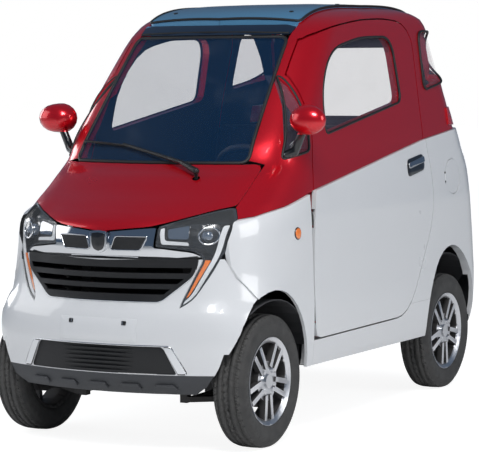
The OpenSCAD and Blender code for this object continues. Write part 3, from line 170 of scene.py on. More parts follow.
class Finish:
    """A material while its nodes are laid out."""

    def __init__(self, name):
        self.material = bpy.data.materials.new(name)
        self.material.use_nodes = True
        self.tree = self.material.node_tree
        self.tree.nodes.clear()

    def node(self, kind, settings, sockets, out=0):
        made = self.tree.nodes.new(kind)
        for key, value in settings.items():
            if key == "stops":
                ramp = made.color_ramp.elements
                while len(ramp) < len(value):
                    ramp.new(0.5)
                for stop, (place, colour) in zip(ramp, value):
                    stop.position, stop.color = place, (*colour, 1)
            else:
                setattr(made, key, value)
        for key, value in sockets.items():
            if isinstance(value, Wire):
                self.tree.links.new(value.socket, made.inputs[key])
            else:
                made.inputs[key].default_value = value
        return Wire(self, made.outputs[out]) if made.outputs else None

    def place(self, scale=1.0, centre=(0, 0, 0)):
        point = self.node("ShaderNodeTexCoord", {}, {}, 3)
        shift = [-c * scale for c in centre]
        return self.node("ShaderNodeMapping", {}, {0: point, "Location": shift, "Scale": (scale,) * 3})

    def noise(self, scale, detail=3.0, place=None):
        sockets = {"Vector": place or self.place(), "Scale": scale, "Detail": detail}
        return self.node("ShaderNodeTexNoise", {}, sockets)

    def cells(self, scale, feature="F1", out=0):
        sockets = {"Vector": self.place(), "Scale": scale}
        return self.node("ShaderNodeTexVoronoi", {"feature": feature}, sockets, out)

    def mix(self, share, one, two):
        one, two = ((*c, 1) if isinstance(c, tuple) else c for c in (one, two))
        return self.node("ShaderNodeMix", {"data_type": "RGBA"}, {0: share, 6: one, 7: two}, 2)

    def bump(self, height, strength, distance=0.001):
        return self.node("ShaderNodeBump", {}, {"Height": height, "Strength": strength, "Distance": distance})

    def split(self, place):
        return [self.node("ShaderNodeSeparateXYZ", {}, {0: place}, i) for i in range(3)]

    def close(self, **sockets):
        names = {key.replace("_", " "): value for key, value in sockets.items()}
        for key, value in names.items():
            if isinstance(value, tuple) and len(value) == 3:
                names[key] = (*value, 1)
        surface = self.node("ShaderNodeBsdfPrincipled", {}, names)
        self.node("ShaderNodeOutputMaterial", {}, {0: surface})
        return self.material


def shade(colour, by):
    return tuple(min(1.0, c * by) for c in colour)


def lacquer(name, colour, metal, flake, other=None, axis=1, edge=0.0):
    """Clear-coated paint: fine flakes, a faint orange peel and a little road dust low down.

    Where other is given, it colours what lies below edge along the axis."""
    f = Finish(name)
    sparkle = f.cells(1500, out=1)
    grey = f.node("ShaderNodeRGBToBW", {}, {0: sparkle})
    cloud = f.noise(3.0, 4.0)
    paint = f.mix(grey * flake, shade(colour, 0.82), shade(colour, 1.3))
    if other:
        paint = f.mix(f.split(f.place())[axis].above(edge, COLOUR_EDGE), other, paint)
    low = 1 - f.split(f.place())[2].above(0.22, 0.30)
    dusty = f.mix(low * cloud * 0.10, paint, (0.35, 0.32, 0.28))
    peel = f.bump(f.noise(210, 1.0), 0.035, 0.0006)
    return f.close(Base_Color=dusty, Metallic=metal, Roughness=0.25 + 0.08 * cloud, Coat_Weight=1.0,
                   Coat_Roughness=0.03, Normal=peel)


def moulded(name, colour, grain, rough, depth=0.25):
    """Moulded plastic with a fine leathery grain, paler where it is handled."""
    f = Finish(name)
    worn, speck = f.noise(9, 4), f.cells(grain, "DISTANCE_TO_EDGE")
    return f.close(Base_Color=f.mix(worn * 0.5, shade(colour, 0.8), shade(colour, 1.5)),
                   Roughness=rough + 0.12 * worn, Normal=f.bump(speck.above(0.0, 0.16), depth, 0.0004))


def pane(name, colour, cover, rough=0.02):
    """Clear sheet: its colour covers a share of what lies behind, a little more where dust was wiped about. On most
    panes the colour is a tint; on the windscreen it is a painted reflection of blue sky.
    """
    f = Finish(name)
    smear = f.noise(5, 5).above(0.55, 0.35)
    return f.close(Base_Color=f.mix(smear * 0.2, colour, (0.5, 0.52, 0.55)), Alpha=cover + 0.03 * smear, IOR=2.0,
                   Roughness=rough + 0.03 * smear, Coat_Weight=1.0, Coat_Roughness=0.02)


def metal(name, colour, rough, grain=(900, 30)):
    """Bright metal with fine machining scratches and handling marks."""
    f = Finish(name)
    scratch, mark = f.noise(grain[0], 2), f.noise(grain[1], 4)
    return f.close(Base_Color=f.mix(mark * 0.4, shade(colour, 0.86), colour), Metallic=1.0,
                   Roughness=rough * (0.7 + 0.6 * mark), Normal=f.bump(scratch, 0.06, 0.0003))


def steel_paint(name, colour):
    """Satin black paint over steel, dusty on top and scuffed at random."""
    f = Finish(name)
    cloud, fine = f.noise(14, 5), f.noise(260, 2)
    return f.close(Base_Color=f.mix(cloud * 0.3, colour, (0.13, 0.115, 0.10)), Metallic=0.1,
                   Roughness=0.42 + 0.3 * cloud, Normal=f.bump(fine, 0.15, 0.0004))


def leather(name, colour):
    """Leatherette: pebbled grain, a soft sheen, creased where it is sat on."""
    f = Finish(name)
    pebble, crease = f.cells(420, "DISTANCE_TO_EDGE").above(0.0, 0.2), f.noise(22, 5)
    return f.close(Base_Color=f.mix(crease * 0.6, colour, shade(colour, 1.9)), Roughness=0.42 + 0.25 * crease,
                   Sheen_Weight=0.15, Normal=f.bump(pebble * 0.6 + crease * 1.2, 0.4, 0.0006))


def tyre_rubber(name, centre):
    """Tyre: dusty rubber, radial ribs on the walls and sipes across the tread."""
    f = Finish(name)
    x, y, z = f.split(f.place(1.0, centre))
    turn = y.math("ARCTAN2", z)
    reach = (y * y + z * z).math("POWER", 0.5)
    tread = reach.above(0.243, 0.002)
    side = x.math("ABSOLUTE")
    sipe = (turn * 62 + side * 90).math("SINE").above(0.82, 0.1)
    shoulder = (turn * 48).math("SINE").above(0.72, 0.15) * side.above(0.046, 0.003)
    ribs = (turn * 240).math("SINE").above(0.2, 0.5)
    ribs = ribs * (1 - reach.above(0.232, 0.002)) * reach.above(0.214, 0.002)
    dust = f.noise(26, 5, f.place(1.0, centre))
    return f.close(Base_Color=f.mix(dust * 0.5 + tread * 0.15, (0.022, 0.022, 0.023), (0.13, 0.125, 0.118)),
                   Roughness=0.62 + 0.25 * dust,
                   Normal=f.bump(0.5 * ribs + dust * 0.15 - tread * sipe * 1.2 - tread * shoulder * 1.6, 0.9, 0.003))


# ---------------------------------------------------------------- the smooth body behind the panels


def bend(a, b, c, n):
    """Points of the quadratic curve from a to c that heads for b, without a."""
    return [(1 - t) ** 2 * a + 2 * t * (1 - t) * b + t * t * c for t in (np.arange(1, n + 1) / n)]


def half_outline(s, fine):
    """Half of a plan outline from the nose's middle to the tail's, with each stretch cut fine times over."""
    yf, yr, w = NOSE + s[1], TAIL - s[2], HALF_W - s[3]
    fx, fy, rx, ry = s[5], s[6], min(115, 0.27 * w), min(130, 0.3 * w)
    xf = w - fx
    y1, yc = yf + s[4] * (xf / w) ** 2, yf + s[4] * (xf / w) ** 2 + 2 * s[4] * xf / (w * w) * fx
    xr = w - rx
    y2 = yr - 60 * (xr / w) ** 2
    yd = y2 - 120 * xr / (w * w) * rx
    v = lambda x, y: np.array([x, y, float(s[0])])
    line = [v(x, yf + s[4] * (x / w) ** 2 - s[7] * max(0, 1 - (x / 300) ** 2))
            for x in np.linspace(0, xf, 4 * fine + 1)]
    line += bend(v(xf, y1), v(w, yc), v(w, yc + fy), 4 * fine)
    line += [v(w, y) for y in np.linspace(yc + fy, yd - ry, 6 * fine + 1)[1:]]
    line += bend(v(w, yd - ry), v(w, yd), v(xr, y2), 4 * fine)
    line += [v(x, yr - 60 * (x / w) ** 2) for x in np.linspace(xr, 0, 3 * fine + 1)[1:]]
    return line


def body_grid(fine, steps):
    """Rings of points of the body form, in metres.

    With one step they are the outlines themselves, with more they lie on smooth curves through them."""
    rows = []
    for s in SECTIONS:
        half = half_outline(s, fine)
        rows.append(half + [p * (-1, 1, 1) for p in half[-2:0:-1]])
    rows = np.array(rows) / 1000
    if steps == 1:
        return rows
    gap = np.maximum(np.linalg.norm(np.diff(rows, axis=0), axis=2, keepdims=True), 1e-6)
    slope = np.diff(rows, axis=0) / gap
    rate = np.empty_like(rows)
    rate[0], rate[-1] = slope[0], slope[-1]
    rate[1:-1] = (slope[:-1] * gap[1:] + slope[1:] * gap[:-1]) / (gap[1:] + gap[:-1])
    out = []
    for i in range(len(rows) - 1):
        for t in np.arange(steps) / steps:
            out.append((2 * t**3 - 3 * t**2 + 1) * rows[i] + (t**3 - 2 * t**2 + t) * gap[i] * rate[i]
                       + (3 * t**2 - 2 * t**3) * rows[i + 1] + (t**3 - t**2) * gap[i] * rate[i + 1])
    out.append(rows[-1])
    grid = np.array(out)
    grid[..., 1] = np.clip(grid[..., 1], NOSE / 1000, TAIL / 1000)
    return grid


class Skin:
    """A body form that points can be looked up on, with its normals."""

    def __init__(self, grid):
        n, m = grid.shape[:2]
        around = np.roll(grid, -1, 1) - np.roll(grid, 1, 1)
        up = np.gradient(grid, axis=0)
        normal = np.cross(around, up)
        normal /= np.maximum(np.linalg.norm(normal, axis=2, keepdims=True), 1e-9)
        top = Vector((0, float(grid[-1, :, 1].mean()), float(grid[-1, 0, 2])))
        self.points = [Vector(p) for p in grid.reshape(-1, 3)] + [top]
        self.normals = [Vector(p) for p in normal.reshape(-1, 3)] + [Vector((0, 0, 1))]
        self.faces = [(i * m + j, i * m + (j + 1) % m, (i + 1) * m + (j + 1) % m, (i + 1) * m + j)
                      for i in range(n - 1) for j in range(m)]
        self.faces += [((n - 1) * m + j, (n - 1) * m + (j + 1) % m, n * m) for j in range(m)]
        self.tree = BVHTree.FromPolygons(self.points, self.faces)

    def near(self, point):
        return self.tree.find_nearest(point)[0]

    def normal(self, point):
        spot, _, face, _ = self.tree.find_nearest(point)
        corners = self.faces[face]
        share = poly_3d_calc([self.points[c] for c in corners], spot)
        return sum((self.normals[c] * w for c, w in zip(corners, share)), Vector()).normalized()


FACETED = Skin(body_grid(1, 1))
SMOOTH = Skin(body_grid(5, 6))


def rounded(points, n=6):
    """An outline with its corners drawn as curves that start the given length away."""
    out = []
    for i, c in enumerate(p[2] for p in points):
        p, q, r = (np.array(points[k % len(points)][:2]) for k in (i, i - 1, i + 1))
        if c == 0:
            out.append(p)
            continue
        a = p + (q - p) * min(c / np.linalg.norm(q - p), 0.49)
        b = p + (r - p) * min(c / np.linalg.norm(r - p), 0.49)
        out += [a] + bend(a, p, b, n)
    return out


def mirrored(points):
    """A half outline, from the centre line out and back, with its other half."""
    return points + [[-p[0], p[1], p[2]] for p in reversed(points) if p[0] > 0]


# ---------------------------------------------------------------- building tools


def select_only(*objects):
    bpy.ops.object.select_all(action="DESELECT")
    for o in objects:
        o.select_set(True)
    bpy.context.view_layer.objects.active = objects[0]


def edit(operator, **words):
    """One edit-mode operator on everything selected in the active mesh."""
    bpy.ops.object.mode_set(mode="EDIT")
    bpy.ops.mesh.select_all(action="SELECT")
    operator(**words)
    bpy.ops.object.mode_set(mode="OBJECT")


def seat(piece, body, material, slot, *nodes):
    """Gives a piece its finish and body, and hides the nodes it stands for; the slot is not used."""
    piece.data.materials.clear()
    piece.data.materials.append(material)
    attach(piece, body)
    if nodes:
        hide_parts(*nodes)
    return piece


def body_of(node):
    """The moving body that holds a node."""
    return next(b for b, names in frame["record"]["behaviour"]["bodies"].items() if node in names)


def smooth_panel(node, name, material, lining=None):
    """A panel of the smooth body: a merged copy of its CAD node, cut into small faces and laid on the smooth form.

    Faces that look into the cabin can take a lining of their own."""
    piece = bpy.data.objects.new(name, NODES[node].data.copy())
    bpy.context.collection.objects.link(piece)
    select_only(piece)
    edit(bpy.ops.mesh.remove_doubles, threshold=WELD)
    edit(bpy.ops.mesh.dissolve_limited, angle_limit=math.radians(0.6))
    low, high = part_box(node)
    step = bpy.context.scene.quad_trim.cut
    bpy.ops.object.mode_set(mode="EDIT")
    for axis in (2, 1, 0):
        count = int((high[axis] - low[axis]) / step)
        for k in range(1, count):
            spot, way = [0, 0, 0], [0, 0, 0]
            spot[axis], way[axis] = low[axis] + k * (high[axis] - low[axis]) / count, 1
            bpy.ops.mesh.select_all(action="SELECT")
            bpy.ops.mesh.bisect(plane_co=spot, plane_no=way)
    bpy.ops.object.mode_set(mode="OBJECT")
    mesh = piece.data
    for v in mesh.vertices:
        flat = FACETED.near(v.co)
        v.co += SMOOTH.near(flat) - flat
    mesh.update()
    normals = [(0.0, 0.0, 0.0)] * len(mesh.loops)
    for face in mesh.polygons:
        lie = SMOOTH.normal(face.center).dot(face.normal)
        face.use_smooth = abs(lie) > LIES_ALONG
        if face.use_smooth:
            for loop in face.loop_indices:
                corner = mesh.vertices[mesh.loops[loop].vertex_index].co
                normals[loop] = SMOOTH.normal(corner) * math.copysign(1, lie)
    mesh.normals_split_custom_set(normals)
    seat(piece, body_of(node), material, frame_slot(node), node)
    if lining:
        mesh.materials.append(lining)
        for face in mesh.polygons:
            face.material_index = int(SMOOTH.normal(face.center).dot(face.normal) < -0.5)
    return piece


def refined(node, name, material, angle=35, second=None, choose=None):
    """A merged copy of a CAD node with soft shading on its round faces.

    choose picks the faces of the second finish."""
    piece = bpy.data.objects.new(name, NODES[node].data.copy())
    bpy.context.collection.objects.link(piece)
    select_only(piece)
    edit(bpy.ops.mesh.remove_doubles, threshold=WELD)
    edit(bpy.ops.mesh.dissolve_limited, angle_limit=math.radians(0.4))
    bpy.ops.object.shade_smooth_by_angle(angle=math.radians(angle))
    seat(piece, body_of(node), material, frame_slot(node), node)
    if second:
        piece.data.materials.append(second)
        for face in piece.data.polygons:
            face.material_index = int(choose(face))
    return piece


def lay_on(view, sign=1.0, inset=0.0):
    """Lays a flat outline on the smooth body, seen from the side, front, rear or top, and sunk by inset."""
    def lay(a, t, b):
        start, way = {"side": ((sign, a, b), (-sign, 0, 0)), "front": ((sign * a, -2, b), (0, 1, 0)),
                      "rear": ((sign * a, 2, b), (0, -1, 0)), "top": ((a, b, 3), (0, 0, -1))}[view]
        spot, _, _, _ = SMOOTH.tree.ray_cast(Vector(start), Vector(way))
        return spot - SMOOTH.normal(spot) * (inset + t)
    return lay


def plate(name, outline, thick, lay, material, body, slot, *nodes, step=0.03, soft=0.0):
    """A flat outline, in millimetres, made solid, cut fine and laid on a surface."""
    bpy.ops.object.select_all(action="DESELECT")
    bpy.ops.mesh.primitive_circle_add(vertices=len(outline), fill_type="NGON")
    piece = bpy.context.active_object
    piece.name = name
    for v, (a, b) in zip(piece.data.vertices, outline):
        v.co = (a / 1000, 0, b / 1000)
    spots = np.array(outline) / 1000
    bpy.ops.object.mode_set(mode="EDIT")
    bpy.ops.mesh.select_all(action="SELECT")
    bpy.ops.mesh.extrude_region_move(TRANSFORM_OT_translate={"value": (0, thick, 0)})
    for k, way in ((0, (1, 0, 0)), (1, (0, 0, 1))):
        low, high = spots[:, k].min(), spots[:, k].max()
        count = int((high - low) / step) + 1
        for i in range(1, count):
            at = low + i * (high - low) / count
            bpy.ops.mesh.select_all(action="SELECT")
            bpy.ops.mesh.bisect(plane_co=(at * way[0], 0, at * way[2]), plane_no=way)
    bpy.ops.mesh.select_all(action="SELECT")
    bpy.ops.mesh.normals_make_consistent(inside=False)
    bpy.ops.object.mode_set(mode="OBJECT")
    if soft:
        bevel = piece.modifiers.new("soft", "BEVEL")
        bevel.width, bevel.segments, bevel.limit_method, bevel.angle_limit = soft, 2, "ANGLE", math.radians(50)
        bpy.ops.object.modifier_apply(modifier="soft")
    for v in piece.data.vertices:
        v.co = lay(*v.co)
    edit(bpy.ops.mesh.normals_make_consistent, inside=False)
    bpy.ops.object.shade_smooth_by_angle(angle=math.radians(30))
    return seat(piece, body, material, slot, *nodes)


def turned(name, add, place, axis, material, body, slot, **sizes):
    """What add makes, set at a place with its own Z along axis."""
    bpy.ops.object.select_all(action="DESELECT")
    add(location=place, rotation=Vector(axis).to_track_quat("Z", "Y").to_euler(), **sizes)
    piece = bpy.context.active_object
    piece.name = name
    bpy.ops.object.transform_apply(location=True, rotation=True, scale=True)
    bpy.ops.object.shade_smooth_by_angle(angle=math.radians(35))
    return seat(piece, body, material, slot)


def frame_slot(node):
    """The material slot that the frame gives a node."""
    return next(p["material_slot"] for p in frame["record"]["subparts"] if p["node"] == node)


def tube_piece(name, points, radius, material, body, slot, closed=True):
    """A round bead along points."""
    curve = bpy.data.curves.new(name, "CURVE")
    curve.dimensions, curve.bevel_depth, curve.bevel_resolution = "3D", radius, 2
    spline = curve.splines.new("POLY")
    spline.points.add(len(points) - 1)
    for spot, p in zip(spline.points, points):
        spot.co = (*p, 1)
    spline.use_cyclic_u = closed
    piece = bpy.data.objects.new(name, curve)
    bpy.context.collection.objects.link(piece)
    select_only(piece)
    bpy.ops.object.convert(target="MESH")
    piece = bpy.context.view_layer.objects.active
    bpy.ops.object.shade_smooth()
    return seat(piece, body, material, slot)


def on_body(points, view, sign=1.0, inset=0.0):
    """Points of an outline, in millimetres, laid on the smooth body as lay_on does."""
    lay = lay_on(view, sign, inset)
    return [lay(a / 1000, 0, b / 1000) for a, b in points]


def ring(x, y, radius, count):
    """A circle's outline."""
    turns = np.arange(count) * math.pi / (count / 2)
    return [[x + radius * math.cos(a), y + radius * math.sin(a)] for a in turns]


def dense(points, step=18.0):
    """A closed outline with points no further apart than about a step, in millimetres."""
    points, out = [np.array(p) for p in points], []
    for a, b in zip(points, points[1:] + points[:1]):
        n = max(1, int(np.linalg.norm(b - a) / step))
        out += [a + (b - a) * k / n for k in range(n)]
    return out


# ---------------------------------------------------------------- one operator for each group of pieces


class Dress(bpy.types.Operator):
    """Runs build for one group of pieces"""
    bl_options = {"REGISTER"}

    def execute(self, context):
        self.build(context)
        return {"FINISHED"}


class QUAD_OT_panels(Dress):
    """Painted panels and mouldings on the smooth body"""
    bl_idname, bl_label = "quad.panels", "Body Panels"

    def build(self, context):
        paint = context.scene.quad_paint
        red = lacquer("upper_lacquer", tuple(paint.upper), 0.6, 0.8)
        white = lacquer("lower_lacquer", tuple(paint.lower), 0.0, 0.12)
        blue = lacquer("roof_lacquer", tuple(paint.roof), 0.2, 0.3, (0.008, 0.018, 0.04), 1, ROOF_SPLIT_Y)
        lining = moulded("door_lining", (0.020, 0.021, 0.024), 700, 0.6)
        grey = moulded("skirt_plastic", (0.045, 0.047, 0.052), 900, 0.42)
        for node in ("body_uppers", "bonnet", "door_frame_left", "door_frame_right", "tailgate"):
            smooth_panel(node, node + "_shell", red, lining)
        for node in ("rear_quarters", "rear_bumper", "front_fenders", "front_bumper", "sills",
                     "door_skin_left", "door_skin_right"):
            smooth_panel(node, node + "_shell", white, lining)
        smooth_panel("roof_panels", "roof_shell", blue, lining)
        smooth_panel("front_skirt", "skirt_shell", grey)
        shell = lacquer("mirror_lacquer", tuple(paint.upper), 0.6, 0.8, (0.012, 0.012, 0.013), 2, MIRROR_SPLIT_Z)
        refined("mirrors", "mirror_shells", shell, 40)
        NODES["charge_flap"].material_slots[0].material = white
        screw = moulded("roof_screws", (0.015, 0.015, 0.016), 900, 0.4)
        for i, (x, y) in enumerate([(x, y) for x in (-270, 270) for y in (-120, 300, 730)]):
            plate(f"roof_screw_{i}", ring(x, y, 9, 12), 0.004, lay_on("top", 1, -0.0025), screw,
                  "body", "dark_moulding")
        for i, x in enumerate((-272, -136, 0, 136, 272)):
            bump = rounded([[x - 46, 247, 4], [x - 33, 268, 6], [x + 33, 268, 6], [x + 46, 247, 4]])
            plate(f"skirt_rib_{i}", bump, 0.008, lay_on("front", 1, -0.0095), grey,
                  "body", "dark_moulding", soft=0.0015)
        plate("number_plate_seat", rounded([[-165, 419, 5], [165, 419, 5], [165, 506, 5], [-165, 506, 5]]),
              0.004, lay_on("front", 1, -0.0012), white, "body", "white_moulding", soft=0.001)
        clip = metal("plate_clips", (0.5, 0.5, 0.52), 0.3)
        for sign in (1, -1):
            hole = rounded([[106, 482, 3], [124, 482, 3], [124, 497, 3], [106, 497, 3]])
            plate(f"plate_hole_{sign}", [[sign * a, b] for a, b in hole], 0.003, lay_on("front", 1, -0.0030),
                  screw, "body", "dark_moulding")
            bar = [[108, 484], [113, 484], [113, 495], [108, 495]]
            plate(f"plate_clip_{sign}", [[sign * a, b] for a, b in bar], 0.004, lay_on("front", 1, -0.0050),
                  clip, "body", "steel")


class QUAD_OT_panes(Dress):
    """Panes, lamp covers and the rubber seals round them"""
    bl_idname, bl_label = "quad.panes", "Panes and Seals"

    def build(self, context):
        tint = pane("pane_tint", (0.27, 0.26, 0.36), 0.10)
        # Painted reflection: the windscreen's navy colour stands in for the blue sky it reflects, and covers a fifth of
        # what lies behind.
        painted_sky_navy = pane("windscreen_painted_sky_reflection", (0.006, 0.045, 0.13), 0.20)
        clear = pane("lamp_cover", (0.75, 0.8, 0.85), 0.035)
        red = pane("tail_lens", (0.5, 0.004, 0.01), 0.92, 0.06)
        for node in ("side_glass", "door_glass_left", "door_glass_right", "tailgate_glass"):
            smooth_panel(node, node + "_pane", tint)
        smooth_panel("windscreen", "windscreen_pane", painted_sky_navy)
        smooth_panel("headlamp_lenses", "headlamp_covers", clear)
        smooth_panel("tail_lamps", "tail_lamp_lenses", red)
        rubber = moulded("seal_rubber", (0.012, 0.012, 0.013), 1400, 0.5, 0.1)
        width = context.scene.quad_trim.seal
        shift = lambda pts: [[p[0] + DOOR_Y, p[1], p[2]] for p in pts]
        for sign, side in ((1, "left"), (-1, "right")):
            for name, outline, body, inset in (("door_window", DOOR_WINDOW, "door_" + side, 0.008),
                                               ("quarter_light", QUARTER_LIGHT, "body", 0.008),
                                               ("rear_window", REAR_WINDOW, "body", 0.003)):
                line = on_body(dense(rounded(shift(outline))), "side", sign, inset)
                tube_piece(f"{name}_seal_{side}", line, width, rubber, body, "dark_moulding")
        line = on_body(dense(rounded(mirrored(WINDSCREEN))), "front", 1, 0.004)
        tube_piece("windscreen_seal", line, width * 1.3, rubber, "body", "dark_moulding")
        line = on_body(dense(rounded(mirrored(ROOF_EDGE)), 25), "top")
        tube_piece("roof_seal", line, 0.005, rubber, "body", "dark_moulding")
        line = on_body(HEADER_EDGE, "front")
        tube_piece("header_seal", line, 0.004, rubber, "body", "dark_moulding", closed=False)
        line = on_body(dense(rounded(mirrored(TAIL_WINDOW))), "rear", 1, 0.004)
        tube_piece("tail_window_seal", line, width, rubber, "tailgate", "dark_moulding")


class QUAD_OT_finishes(Dress):
    """Finishes of the pieces that keep their CAD shapes"""
    bl_idname, bl_label = "quad.finishes", "Finishes"

    def build(self, context):
        black = steel_paint("chassis_paint", (0.02, 0.02, 0.021))
        cabin = moulded("cabin_plastic", (0.030, 0.030, 0.033), 700, 0.5)
        dark = moulded("grille_plastic", (0.010, 0.010, 0.011), 1100, 0.38)
        bare = metal("bare_steel", (0.45, 0.45, 0.46), 0.34)
        case = moulded("battery_case", (0.03, 0.05, 0.08), 500, 0.45)
        smooth_panel("grilles", "louvres", dark)
        refined("dashboard", "dashboard_moulding", cabin)
        refined("steering_wheel", "steering_wheel_rim", cabin, 50)
        refined("wiper", "wiper_arm", dark, 40)
        finishes = {black: "chassis_frame rear_axle rear_suspension front_suspension steering_gear seat_frames "
                           "hinge_brackets tailgate_hinges door_hinge_left door_hinge_right "
                           "knuckle_left knuckle_right",
                    cabin: "floor_pan wheel_houses", bare: "rack_bar", case: "battery_pack"}
        for finish, names in finishes.items():
            for node in names.split():
                NODES[node].material_slots[0].material = finish


def cushion(name, size, place, tilt):
    """A stuffed seat pad: crowned, with side bolsters, cross pleats and sewn seams."""
    w, l, t = size
    bpy.ops.object.select_all(action="DESELECT")
    bpy.ops.mesh.primitive_cube_add(size=1, location=(0, 0, 0))
    piece = bpy.context.active_object
    piece.name = name
    piece.scale = (w, l, t)
    bpy.ops.object.transform_apply(location=True, rotation=True, scale=True)
    bevel = piece.modifiers.new("round", "BEVEL")
    bevel.width, bevel.segments = 0.036, 5
    bpy.ops.object.modifier_apply(modifier="round")
    bpy.ops.object.mode_set(mode="EDIT")
    for k, reach, count in ((0, w, 44), (1, l, 44), (2, t, 6)):
        way = [0, 0, 0]
        way[k] = 1
        for i in range(1, count):
            bpy.ops.mesh.select_all(action="SELECT")
            bpy.ops.mesh.bisect(plane_co=[c * (i / count - 0.5) * reach for c in way], plane_no=way)
    bpy.ops.object.mode_set(mode="OBJECT")
    lean = math.radians(tilt)
    dip = lambda gap, depth: -depth * math.exp(-(gap / 0.0045) ** 2)
    for v in piece.data.vertices:
        u, q, top = 2 * v.co.x / w, 2 * v.co.y / l, max(0.0, 2 * v.co.z / t)
        lift = 0.014 * (1 - u ** 4) * (1 - q ** 4) - 0.010 * max(0, 1 - (abs(u) / 0.55) ** 4)
        lift += dip((abs(u) - 0.58) * w / 2, 0.008)
        if abs(u) < 0.58:
            lift += min(dip((q - k) * l / 2, 0.006) for k in (-0.55, -0.18, 0.18, 0.55))
        v.co.z += (lift - 0.014) * top
        y, z = v.co.y, v.co.z
        v.co.y, v.co.z = y * math.cos(lean) - z * math.sin(lean), y * math.sin(lean) + z * math.cos(lean)
        v.co += Vector(place)
    bpy.ops.object.shade_smooth()
    return piece


class QUAD_OT_seats(Dress):
    """Two seats with crowned, seamed pads"""
    bl_idname, bl_label = "quad.seats", "Seats"

    def build(self, context):
        hide = leather("pad_leather", (0.014, 0.014, 0.015))
        for node, tilt in (("seat_cushions", 0), ("seat_backs", 78)):
            low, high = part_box(node)
            width, middle = 0.400, [(a + b) / 2 for a, b in zip(low, high)]
            size = (width, high[1] - low[1], high[2] - low[2]) if tilt == 0 else (width, 0.530, 0.090)
            for sign, side in ((1, "left"), (-1, "right")):
                x = sign * (high[0] - width / 2)
                pad = cushion(f"{node}_{side}", size, (x, middle[1], middle[2]), tilt)
                seat(pad, "body", hide, "leatherette", node)


class QUAD_OT_wheels(Dress):
    """Tyres, machined rims, caps and wheel nuts"""
    bl_idname, bl_label = "quad.wheels", "Wheels"

    def build(self, context):
        bright = metal("machined_alloy", (0.86, 0.86, 0.88), 0.36)
        dark = steel_paint("rim_pockets", (0.035, 0.035, 0.038))
        chrome = metal("wheel_nuts", (0.72, 0.73, 0.75), 0.12, (300, 18))
        for end, y in (("front", FRONT_AXLE), ("rear", REAR_AXLE)):
            for side, x in (("left", WHEEL_X), ("right", -WHEEL_X)):
                name, body = f"{end}_{side}", f"wheel_{end}_{side}"
                rubber = tyre_rubber(f"tyre_{name}_rubber", (x, y, AXLE_Z))
                refined("tyre_" + name, "tyre_" + name + "_carcass", rubber, 40)
                low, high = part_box("rim_" + name)
                out = math.copysign(1, x)
                face = high[0] if x > 0 else low[0]
                refined("rim_" + name, "rim_" + name + "_alloy", dark, 30, bright,
                        lambda f: f.normal.x * out > 0.55 and (face - f.center.x) * out < 0.040)
                way, drum = (out, 0, 0), bpy.ops.mesh.primitive_cylinder_add
                turned("cap_" + name, drum, (face - out * 0.016, y, AXLE_Z), way, chrome, body, "alloy",
                       vertices=32, radius=0.027, depth=0.022)
                for k in range(4):
                    a = math.radians(45 + 90 * k)
                    spot = (face - out * 0.013, y + NUT_CIRCLE * math.cos(a), AXLE_Z + NUT_CIRCLE * math.sin(a))
                    turned(f"nut_{name}_{k}", drum, spot, way, chrome, body, "alloy",
                           vertices=6, radius=0.0095, depth=0.014)


